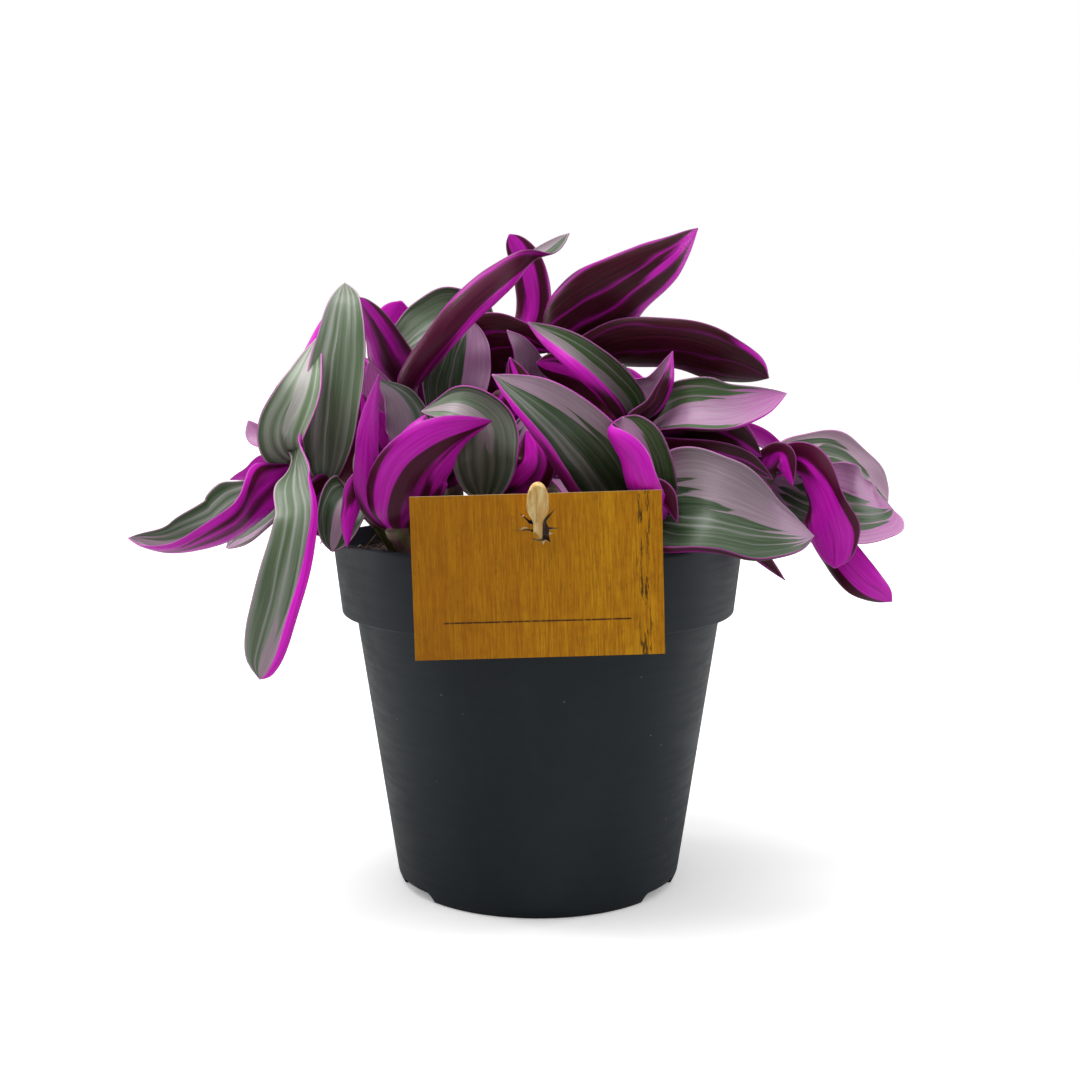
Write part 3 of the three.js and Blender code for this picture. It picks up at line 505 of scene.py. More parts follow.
def smooth_path(points, count):
    """A Catmull-Rom curve through the points, as count points evenly spaced along it."""
    p = np.array(points, float)
    p = np.vstack([2 * p[0] - p[1], p, 2 * p[-1] - p[-2]])
    w = np.linspace(0, 1, 24, endpoint=False)[:, None]
    spans = [0.5 * (2 * b + (c - a) * w + (2 * a - 5 * b + 4 * c - d) * w ** 2
                    + (3 * b - a - 3 * c + d) * w ** 3) for a, b, c, d in zip(p, p[1:], p[2:], p[3:])]
    path = np.vstack([*spans, p[-2]])
    gone = np.concatenate([[0], np.cumsum(np.linalg.norm(np.diff(path, axis=0), axis=1))])
    stops = np.linspace(0, gone[-1], count)
    return np.stack([np.interp(stops, gone, path[:, k]) for k in range(p.shape[1])], axis=1), gone[-1]


def unit(v):
    """Vectors made 1 long."""
    return v / np.maximum(np.linalg.norm(v, axis=-1, keepdims=True), 1e-9)


def keyed(keys, t):
    """Values between evenly spaced keys, with a smooth step from one key to the next."""
    k = np.array(keys if len(keys) > 1 else list(keys) * 2, float)
    q = np.clip(t, 0, 1) * (len(k) - 1)
    i = np.minimum(q.astype(int), len(k) - 2)
    w = (q - i) ** 2 * (3 - 2 * (q - i))
    w = w.reshape(w.shape + (1,) * (k.ndim - 1))
    return k[i] * (1 - w) + k[i + 1] * w


def drawn(table, t):
    """Reads a smooth curve through a table of places and values."""
    curve, _ = smooth_path([(*p, 0) for p in table], 400)
    return np.interp(t, curve[:, 0], curve[:, 1])


def waves(t, s, seed, count=4):
    """A slow random swell over a blade, between about -1 and 1."""
    draw = random.Random(seed)
    total = 0
    for _ in range(count):
        along, across = draw.uniform(1.2, 4.5), draw.uniform(-1.6, 1.6)
        total = total + np.sin(2 * math.pi * (along * t + across * s * 0.5 + draw.random()))
    return total / count


def bent_half(fold, curl, rim, across, steps=48):
    """How far half a blade runs sideways and up, for a half as long as 1, out to each place.

    rim is how many degrees its margin is rolled by, and from where across the half.
    """
    w = np.linspace(0, 1, steps + 1)
    roll = np.clip((w - rim[1][..., None]) / ROLL_WIDE, 0, 1)
    roll = np.radians(rim[0])[..., None] * roll * roll * (3 - 2 * roll)
    angle = np.radians(fold)[..., None] + np.radians(curl)[..., None] * w + roll
    run = [np.cumsum((k[..., 1:] + k[..., :-1]) / 2 / steps, axis=-1)
           for k in (np.cos(angle), np.sin(angle))]
    run = [np.concatenate([np.zeros(k.shape[:-1] + (1,)), k], axis=-1) for k in run]
    i = np.minimum((across * steps).astype(int), steps - 1)[..., None]
    part = across * steps - i[..., 0]
    low, high = ([np.take_along_axis(k, i + d, -1)[..., 0] for k in run] for d in (0, 1))
    return [a * (1 - part) + b * part for a, b in zip(low, high)]


class Growth:
    """Collects the surfaces of one shoot, with what its materials read at each point."""

    def __init__(self):
        self.points, self.faces, self.slots = [], [], []
        self.stripe, self.paint, self.form = [], [], []
        self.count = 0

    def add(self, points, faces, slot, stripe, paint=0, form=0):
        """Adds a surface; slot is the material of all its faces, or a list with one for each."""
        self.points.append(points)
        self.faces += [tuple(k + self.count for k in face) for face in faces]
        self.slots += slot if isinstance(slot, list) else [slot] * len(faces)
        for store, values in ((self.stripe, stripe), (self.paint, paint), (self.form, form)):
            store.append(np.broadcast_to(values, (len(points), 3)))
        self.count += len(points)

    def mesh(self, name, materials):
        """All the surfaces as one mesh."""
        made = bpy.data.meshes.new(name)
        made.from_pydata((np.vstack(self.points) * MM).tolist(), [], self.faces)
        for label, store in (("stripe", self.stripe), ("paint", self.paint), ("form", self.form)):
            layer = made.attributes.new(label, "FLOAT_VECTOR", "POINT")
            layer.data.foreach_set("vector", np.vstack(store).astype(np.float32).ravel())
        for material in materials:
            made.materials.append(material)
        made.polygons.foreach_set("material_index", self.slots)
        made.shade_smooth()
        made.validate()
        return made


def leaf(spine, width, up, curl_l=(70, 35, 25), curl_r=(70, 35, 25), fold_l=(0,), fold_r=(0,),
         rim_l=(20, 0.75), rim_r=(20, 0.75), blunt=0, belly=1, broad_l=1, ripple=0.05, crumple=0.022,
         reach=(0.9, 0.8, 0.5, 0.8, 0.9), blush=(0.3, 0.6), tone=0.4, gap=0.2, begin=0, shade=1):
    """One blade: spine from stem to tip, width, and the way its upper side faces.

    curl bends the halves up at the margin and fold lifts them at the midrib, in degrees, from base
    to tip; rim rolls only the margin, by so many more, which may change along the blade, from so far
    across the half. ripple waves the margin and crumple dents the face, as shares of the width.
    reach says, from the left margin to the right one, how far along the blade the green stripes run,
    and begin where they start. blush is how pink the rest is from base to tip, tone how dark the green
    is, gap the share of the width that the silver lines take, and shade how bright all its colours are:
    below 1 it is painted shade, for a leaf that lies in shadow, and above 1 painted light and sheen.
    """
    return dict(locals())


def grow_leaf(growth, seed, spec):
    """Adds the leaf's two faces and its thin margin to the shoot."""
    x = np.linspace(-1, 1, LEAF_COLUMNS + 1)
    s, t = np.meshgrid(0.3 * x + 0.7 * np.sin(x * math.pi / 2), np.linspace(0, 1, LEAF_ROWS + 1))
    across, along = np.abs(s), t[:, 0]
    line, length = smooth_path(spec["spine"], LEAF_ROWS + 1)
    forward = unit(np.gradient(line, axis=0))
    up = keyed(spec["up"], along)
    up = unit(up - (up * forward).sum(1, keepdims=True) * forward)
    side = np.cross(forward, up)
    station = along ** spec["belly"]
    outline = drawn(OUTLINE, station) * (1 - spec["blunt"]) + drawn(BLUNT, station) * spec["blunt"]
    half = np.maximum(spec["width"] / 2 * outline, LEAF_THINNEST)[:, None]
    half = half * np.where(s < 0, spec["broad_l"], 1)
    half = half * (1 + UNEVEN * waves(t, np.sign(s) * 3, seed + 5) * np.sin(math.pi * t))
    right = s > 0

    def by_side(*keys):
        """Degrees at each point, from the keys of the left half and of the right half."""
        low, high = (keyed(np.atleast_1d(k), along)[:, None] for k in keys)
        return np.where(right, high, low)

    (roll_l, from_l), (roll_r, from_r) = spec["rim_l"], spec["rim_r"]
    rim = by_side(roll_l, roll_r), np.where(right, from_r, from_l)
    fold, curl = (by_side(spec[turn + "_l"], spec[turn + "_r"]) for turn in ("fold", "curl"))
    lateral, rise = bent_half(fold, curl, rim, across)
    lateral, rise = lateral * np.sign(s) * half, rise * half
    swell = np.sin(math.pi * np.minimum(1.1 * t, 1)) * spec["width"] / 2
    rise += spec["ripple"] * swell * across ** 2 * np.sin(2 * math.pi * (RIPPLES * t + 0.35 * right))
    rise += spec["crumple"] * swell * across * waves(t, s, seed)
    midrib = MIDRIB_DEEP * np.exp(-(s * half / MIDRIB_WIDE) ** 2)
    rise -= midrib * np.sin(math.pi * np.minimum(t * 1.5, 1)) * (1 - t)
    middle = line[:, None] + side[:, None] * lateral[..., None] + up[:, None] * rise[..., None]
    normal = unit(np.cross(np.gradient(middle, axis=1), np.gradient(middle, axis=0)))
    thick = LEAF_EDGE_THICK + (LEAF_THICK - LEAF_EDGE_THICK) * (1 - across ** 2) * (1 - t ** 3)
    offset = normal * thick[..., None] / 2
    points = np.concatenate([(middle + offset).reshape(-1, 3), (middle - offset).reshape(-1, 3)])
    rows, columns = LEAF_ROWS, LEAF_COLUMNS
    below = (rows + 1) * (columns + 1)

    def at(i, j):
        return i * (columns + 1) + j

    faces, slot = [], []
    for i in range(rows):
        for j in range(columns):
            quad = (at(i, j), at(i, j + 1), at(i + 1, j + 1), at(i + 1, j))
            faces += [quad, tuple(k + below for k in quad[::-1])]
            slot += [0, 1]
    rim = [at(i, 0) for i in range(rows + 1)] + [at(rows, j) for j in range(1, columns + 1)]
    rim += [at(i, columns) for i in range(rows - 1, -1, -1)] + [at(0, j) for j in range(columns - 1, 0, -1)]
    for a, b in zip(rim, rim[1:] + rim[:1]):
        faces.append((a, b, b + below, a + below))
        slot.append(1)
    lane = s * half.max() / STRIPE_WIDE + seed * 31 + 0.5
    reach = keyed(spec["reach"], (s + 1) / 2)
    blush = keyed(spec["blush"], t)
    margin = np.minimum((1 - across) * half, (1 - t) * length)
    layers = [(lane, t, reach), (blush, spec["tone"], spec["begin"]), (margin, spec["gap"], spec["shade"])]
    layers = [np.stack(np.broadcast_arrays(*layer), axis=-1).reshape(-1, 3) for layer in layers]
    growth.add(points, faces, slot, *[np.tile(layer, (2, 1)) for layer in layers])


# A round rod along each chain of edges: the stems and their sheaths, with a few short hairs.
rods, given, out = geometry_tree("stems", {"Hairs": 1.0, "Hair length": 1.0, "Seed": 3, "Stem": None})
bone = add_node(rods, "GeometryNodeMeshToCurve", {0: given["Geometry"]}).outputs[0]
thick = add_node(rods, "GeometryNodeInputNamedAttribute", {"Name": "thick"}, data_type="FLOAT").outputs[0]
section = add_node(rods, "GeometryNodeCurvePrimitiveCircle", {"Resolution": 18, "Radius": 1.0}).outputs[0]
turn = add_node(rods, "GeometryNodeSplineParameter").outputs["Factor"]
section = add_node(rods, "GeometryNodeStoreNamedAttribute", {
    "Geometry": section, "Name": "around", "Value": turn}, data_type="FLOAT", domain="POINT").outputs[0]
rod = add_node(rods, "GeometryNodeCurveToMesh", {
    0: bone, 1: section, "Scale": thick, "Fill Caps": True}).outputs[0]
hairy = add_node(rods, "GeometryNodeInputNamedAttribute", {"Name": "sheath"}, data_type="FLOAT").outputs[0]
spots = add_node(rods, "GeometryNodeDistributePointsOnFaces", {
    "Mesh": rod, "Density": given["Hairs"], "Seed": given["Seed"],
    "Selection": add_node(rods, "FunctionNodeCompare", {0: hairy, 1: 0.5}).outputs[0]})
hair = add_node(rods, "GeometryNodeMeshCone", {
    "Vertices": 3, "Radius Top": 0.0, "Radius Bottom": 0.05, "Depth": 1.0, "Side Segments": 1,
    "Fill Segments": 1}).outputs[0]
long = times(rods, random_value(rods, 0.4, 1.1, given["Seed"]), given["Hair length"])
hairs = add_node(rods, "GeometryNodeInstanceOnPoints", {
    "Points": spots.outputs["Points"], "Rotation": spots.outputs["Rotation"], "Instance": hair,
    "Scale": long}).outputs[0]
rods.links.new(faced(rods, made_real(rods, joined(rods, rod, hairs)), given["Stem"]), out["Geometry"])


def grow_stem(growth, seed, stem, leaves):
    """Adds the stem with its swollen nodes, and a sheath round it under each leaf."""
    path, length = smooth_path(stem, STEM_STEPS + 1)
    t = np.linspace(0, 1, STEM_STEPS + 1)
    radius = STEM_R + (STEM_TIP_R - STEM_R) * t
    feet = [int(np.argmin(np.linalg.norm(path - spec["spine"][0], axis=1))) for spec in leaves]
    for foot in feet:
        radius += NODE_SWELL * np.exp(-((t - t[foot]) * length / NODE_LONG) ** 2)
    radius = np.minimum(radius, STEM_R + NODE_SWELL)
    radius[-3:] *= STEM_END
    chains = [(path, radius, 0.0)]
    for foot in feet:
        start = max(t[foot] - SHEATH_LONG / length, 0.12)
        end = min(t[foot] + SHEATH_ABOVE / length, 0.96)
        reach = np.linspace(start, end, SHEATH_STEPS)
        at = np.stack([np.interp(reach, t, path[:, k]) for k in range(3)], axis=1)
        flare = SHEATH_THICK + SHEATH_FLARE * np.linspace(0, 1, SHEATH_STEPS) ** 3
        wide = np.interp(reach, t, radius) + flare
        wide[-1] -= SHEATH_LIP
        chains.append((at, wide, 1.0))
    bones = bpy.data.meshes.new("bones")
    points, edges, thick, sheath = [], [], [], []
    for at, wide, kind in chains:
        start = len(points)
        points += (at * MM).tolist()
        edges += [(start + k, start + k + 1) for k in range(len(at) - 1)]
        thick += (wide * MM).tolist()
        sheath += [kind] * len(at)
    bones.from_pydata(points, edges, [])
    bones.attributes.new("thick", "FLOAT", "POINT").data.foreach_set("value", thick)
    bones.attributes.new("sheath", "FLOAT", "POINT").data.foreach_set("value", sheath)
    along = np.concatenate([np.linspace(0, len(at), len(at)) for at, _, _ in chains])
    bones.attributes.new("along", "FLOAT", "POINT").data.foreach_set("value", along.tolist())
    piece = in_scene("bones", bones)
    made = grown(piece, rods, {
        "Hairs": HAIRS_PER_CM2 / CM2, "Hair length": HAIR_LONG * MM, "Seed": seed, "Stem": stem_skin}).data
    places = np.empty(len(made.vertices) * 3)
    made.vertices.foreach_get("co", places)
    values = []
    for label in ("around", "along", "sheath"):
        layer = np.zeros(len(made.vertices))
        made.attributes[label].data.foreach_get("value", layer)
        values.append(layer)
    faces = [tuple(face.vertices) for face in made.polygons]
    stripe = np.stack([values[0] * 9 + seed, values[1], values[2]], 1)
    growth.add(places.reshape(-1, 3) / MM, faces, 2, stripe)
    bpy.data.objects.remove(piece)


# The stripes that both faces of a blade share: pointed at their ends, and parted by fine lines.
# Green is 1 on a stripe and Lines on the silver between two; Soft is the stripe as its back shows it.
group, given, out = shader_group(
    "leaf_stripes", {"Stripe": None, "Paint": None, "Form": None, "Spread": 1.0},
    ("Green", "Lines", "Veins", "Margin", "Blush", "Tone", "Along", "Bands", "Soft", "Shade"))
lane, along, reach = axes(group, given["Stripe"])
blush, tone, begin = axes(group, given["Paint"])
# The third value of the form is the leaf's shade: painted shade where below 1, painted light where above 1.
margin, gap, shade = axes(group, given["Form"])


def streaks(tree, lane, along, fine, slow, detail=2.0):
    """Noise drawn out along the veins."""
    inputs = {0: times(tree, lane, fine), 1: times(tree, along, slow)}
    return noise(tree, add_node(tree, "ShaderNodeCombineXYZ", inputs).outputs[0], 1.0, detail, 0.6)


def luck(tree, number, offset):
    """A random number from 0 to 1 for each stripe."""
    inputs = {"W": calc(tree, "ADD", number, offset)}
    return add_node(tree, "ShaderNodeTexWhiteNoise", inputs, noise_dimensions="1D").outputs[0]


# Each point's stripe by number, and how far the point is from the stripe's middle.
sway = calc(group, "SUBTRACT", streaks(group, lane, along, 0.4, 1.6), 0.5)
lane_here = calc(group, "MULTIPLY_ADD", lane, given["Spread"], times(group, sway, 1.3))
number = calc(group, "FLOOR", lane_here)
off_middle = calc(group, "ABSOLUTE", calc(group, "SUBTRACT", calc(group, "FRACT", lane_here), 0.5))

# How wide the stripe is there: it starts and ends in a point, each at its own place.
spread = times(group, calc(group, "SUBTRACT", luck(group, number, 0.3), 0.6), 0.34)
spread = times(group, spread, fade(group, reach, 1.0, 0.6))
ragged = times(group, calc(group, "SUBTRACT", streaks(group, lane, along, 2.5, 1.5), 0.5), 0.25)
end = calc(group, "ADD", times(group, reach, 1.3), calc(group, "ADD", spread, ragged))
pointed = fade(group, calc(group, "SUBTRACT", end, along), 0.0, 0.3)
start = times(group, begin, calc(group, "ADD", luck(group, number, 7.7), 0.5))
started = fade(group, calc(group, "SUBTRACT", along, start), -0.02, 0.07)
wide = times(group, times(group, pointed, started), 0.57)
body = fade(group, calc(group, "SUBTRACT", wide, off_middle), -0.03, 0.1)

# The fine lines between stripes, some broad and some faint, and the soft stripes of the back.
thin = times(group, gap, calc(group, "ADD", times(group, luck(group, number, 3.1), 2.4), 0.15))
line = fade(group, calc(group, "SUBTRACT", 0.5, off_middle), 0.0, thin, 1, 0)
strength = fade(group, streaks(group, number, along, 0.77, 0.8), 0.4, 0.6, 0.25, 0.95)
strength = times(group, strength, fade(group, luck(group, number, 2.2), 0.2, 0.6, 0.4, 1.0))
swollen = times(group, wide, calc(group, "MULTIPLY_ADD", gap, -2.0, 1.34))
soft = fade(group, calc(group, "SUBTRACT", swollen, off_middle), -0.14, 0.26)
some = times(group, calc(group, "GREATER_THAN", luck(group, number, 5.9), 0.6), 0.4)
soft = times(group, soft, calc(group, "SUBTRACT", 1.0, times(group, line, some)))

for label, value in {
        "Green": body, "Lines": times(group, line, strength), "Soft": soft,
        "Veins": streaks(group, lane, along, 5.0, 3.0, 3.0), "Bands": streaks(group, lane, along, 0.9, 0.9),
        "Margin": fade(group, margin, 0.12, 0.5, 1, 0), "Blush": blush, "Tone": tone, "Along": along,
        "Shade": shade}.items():
    group.links.new(value, out[label])
stripe_group = group


def from_shoot(tree, label):
    """What the shoot's mesh says at a point."""
    return add_node(tree, "ShaderNodeAttribute", attribute_name=label).outputs["Vector"]


def graded(tree, value, *stops):
    """A colour that runs through the stops, which are places and colours."""
    node = add_node(tree, "ShaderNodeValToRGB", {0: value})
    ramp = node.color_ramp
    for _ in stops[2:]:
        ramp.elements.new(0.5)
    for element, (place, tint) in zip(ramp.elements, stops):
        element.position, element.color = place, tint
    return node.outputs[0]


def shaded(tree, tint, amount):
    """The tint made darker or brighter: painted shade below 1, painted light above 1."""
    return add_node(tree, "ShaderNodeHueSaturation", {"Value": amount, "Color": tint}).outputs[0]


def leaf_look(tree, spread=1.0):
    """The stripe group's outputs at a point of a leaf; a spread of 0.5 doubles the stripes' width."""
    inputs = {label: from_shoot(tree, label.lower()) for label in ("Stripe", "Paint", "Form")}
    return use_group(tree, stripe_group, {**inputs, "Spread": spread})


def leaf_relief(tree, veins):
    """The normal of a leaf: fine veins, and over them the sparkle of its skin."""
    sparkle = noise(tree, object_place(tree), 7.0, 2, 0.7)
    return bump(tree, sparkle, 0.03, 0.5, bump(tree, veins, 0.13, 0.8))


# The upper face: pale silver to pink, with green stripes that silver lines run between.
leaf_upper, tree, shader = new_material("leaf_upper", IOR=1.42)
look = leaf_look(tree)
veins = look["Veins"]
pale = graded(tree, look["Blush"], (0.0, colour(144, 152, 138)), (0.35, colour(158, 140, 148)),
              (0.7, colour(180, 130, 170)), (1.0, colour(194, 72, 176)))
pale = mixed(tree, fade(tree, veins, 0.35, 0.75, 0, 0.3), pale, colour(206, 192, 202))
deep = graded(tree, look["Tone"], (0.0, colour(88, 106, 76)), (0.35, colour(58, 82, 50)),
              (0.65, colour(38, 64, 34)), (1.0, colour(58, 100, 26)))
deep = mixed(tree, fade(tree, veins, 0.35, 0.8, 0, 0.45), deep, colour(126, 138, 118))
silver = fade(tree, look["Tone"], 0.45, 0.0, 0.05, 0.75)
silver = times(tree, fade(tree, look["Bands"], 0.46, 0.7), silver)
deep = mixed(tree, silver, deep, colour(150, 158, 146))
# Darker green toward the leaf's base: partly its own deeper colour, partly painted shade of the clump's
# middle.
deep = mixed(tree, fade(tree, look["Along"], 0.45, 0.0, 0, 0.35), deep, colour(32, 46, 32))
bright = graded(tree, look["Blush"], (0.0, colour(158, 166, 152)), (0.45, colour(152, 152, 148)),
                (1.0, colour(176, 120, 160)))
deep = mixed(tree, look["Lines"], deep, bright)
face = mixed(tree, look["Green"], pale, deep)
face = mixed(tree, times(tree, look["Margin"], 0.75), face, colour(206, 176, 194))
# All its colours are scaled by the leaf's shade: painted shade on leaves in shadow, painted light on lit
# ones.
dress(tree, shader, shaded(tree, face, look["Shade"]), fade(tree, veins, 0.25, 0.8, 0.3, 0.46),
      leaf_relief(tree, veins))

# The under face: bright magenta, with maroon where the upper face is green.
leaf_under, tree, shader = new_material("leaf_under", IOR=1.42, **{"Specular IOR Level": 0.32})
look = leaf_look(tree, 0.5)
veins = look["Veins"]
vivid = mixed(tree, fade(tree, veins, 0.3, 0.8), colour(226, 16, 204), colour(246, 50, 230))
maroon = graded(tree, look["Tone"], (0.3, colour(92, 12, 58)), (0.6, colour(60, 17, 25)))
maroon = mixed(tree, fade(tree, veins, 0.35, 0.8, 0, 0.7), maroon, colour(104, 22, 58))
face = mixed(tree, look["Soft"], vivid, maroon)
face = mixed(tree, times(tree, look["Margin"], 0.6), face, colour(190, 90, 176))
# All its colours are scaled by the leaf's shade: painted shade on leaves in shadow, painted light on lit
# ones.
dress(tree, shader, shaded(tree, face, look["Shade"]), fade(tree, veins, 0.25, 0.8, 0.28, 0.44),
      leaf_relief(tree, veins))

# The stem: fleshy olive green, flushed with purple, and pinker on the sheaths.
stem_skin, tree, shader = new_material("stem_skin", IOR=1.42)
lane, along, sheath = axes(tree, from_shoot(tree, "stripe"))
fine = streaks(tree, lane, along, 1.6, 0.12, 3.0)
skin = mixed(tree, fade(tree, fine, 0.35, 0.7), colour(70, 78, 36), colour(112, 116, 66))
flush = fade(tree, streaks(tree, lane, along, 0.4, 0.05), 0.5, 0.7)
skin = mixed(tree, flush, skin, colour(92, 40, 66))
sleeve = mixed(tree, fade(tree, fine, 0.4, 0.65), colour(122, 130, 84), colour(142, 74, 116))
skin = mixed(tree, times(tree, sheath, 0.8), skin, sleeve)
dress(tree, shader, skin, fade(tree, fine, 0.3, 0.7, 0.34, 0.5), bump(tree, fine, 0.12, 0.7))

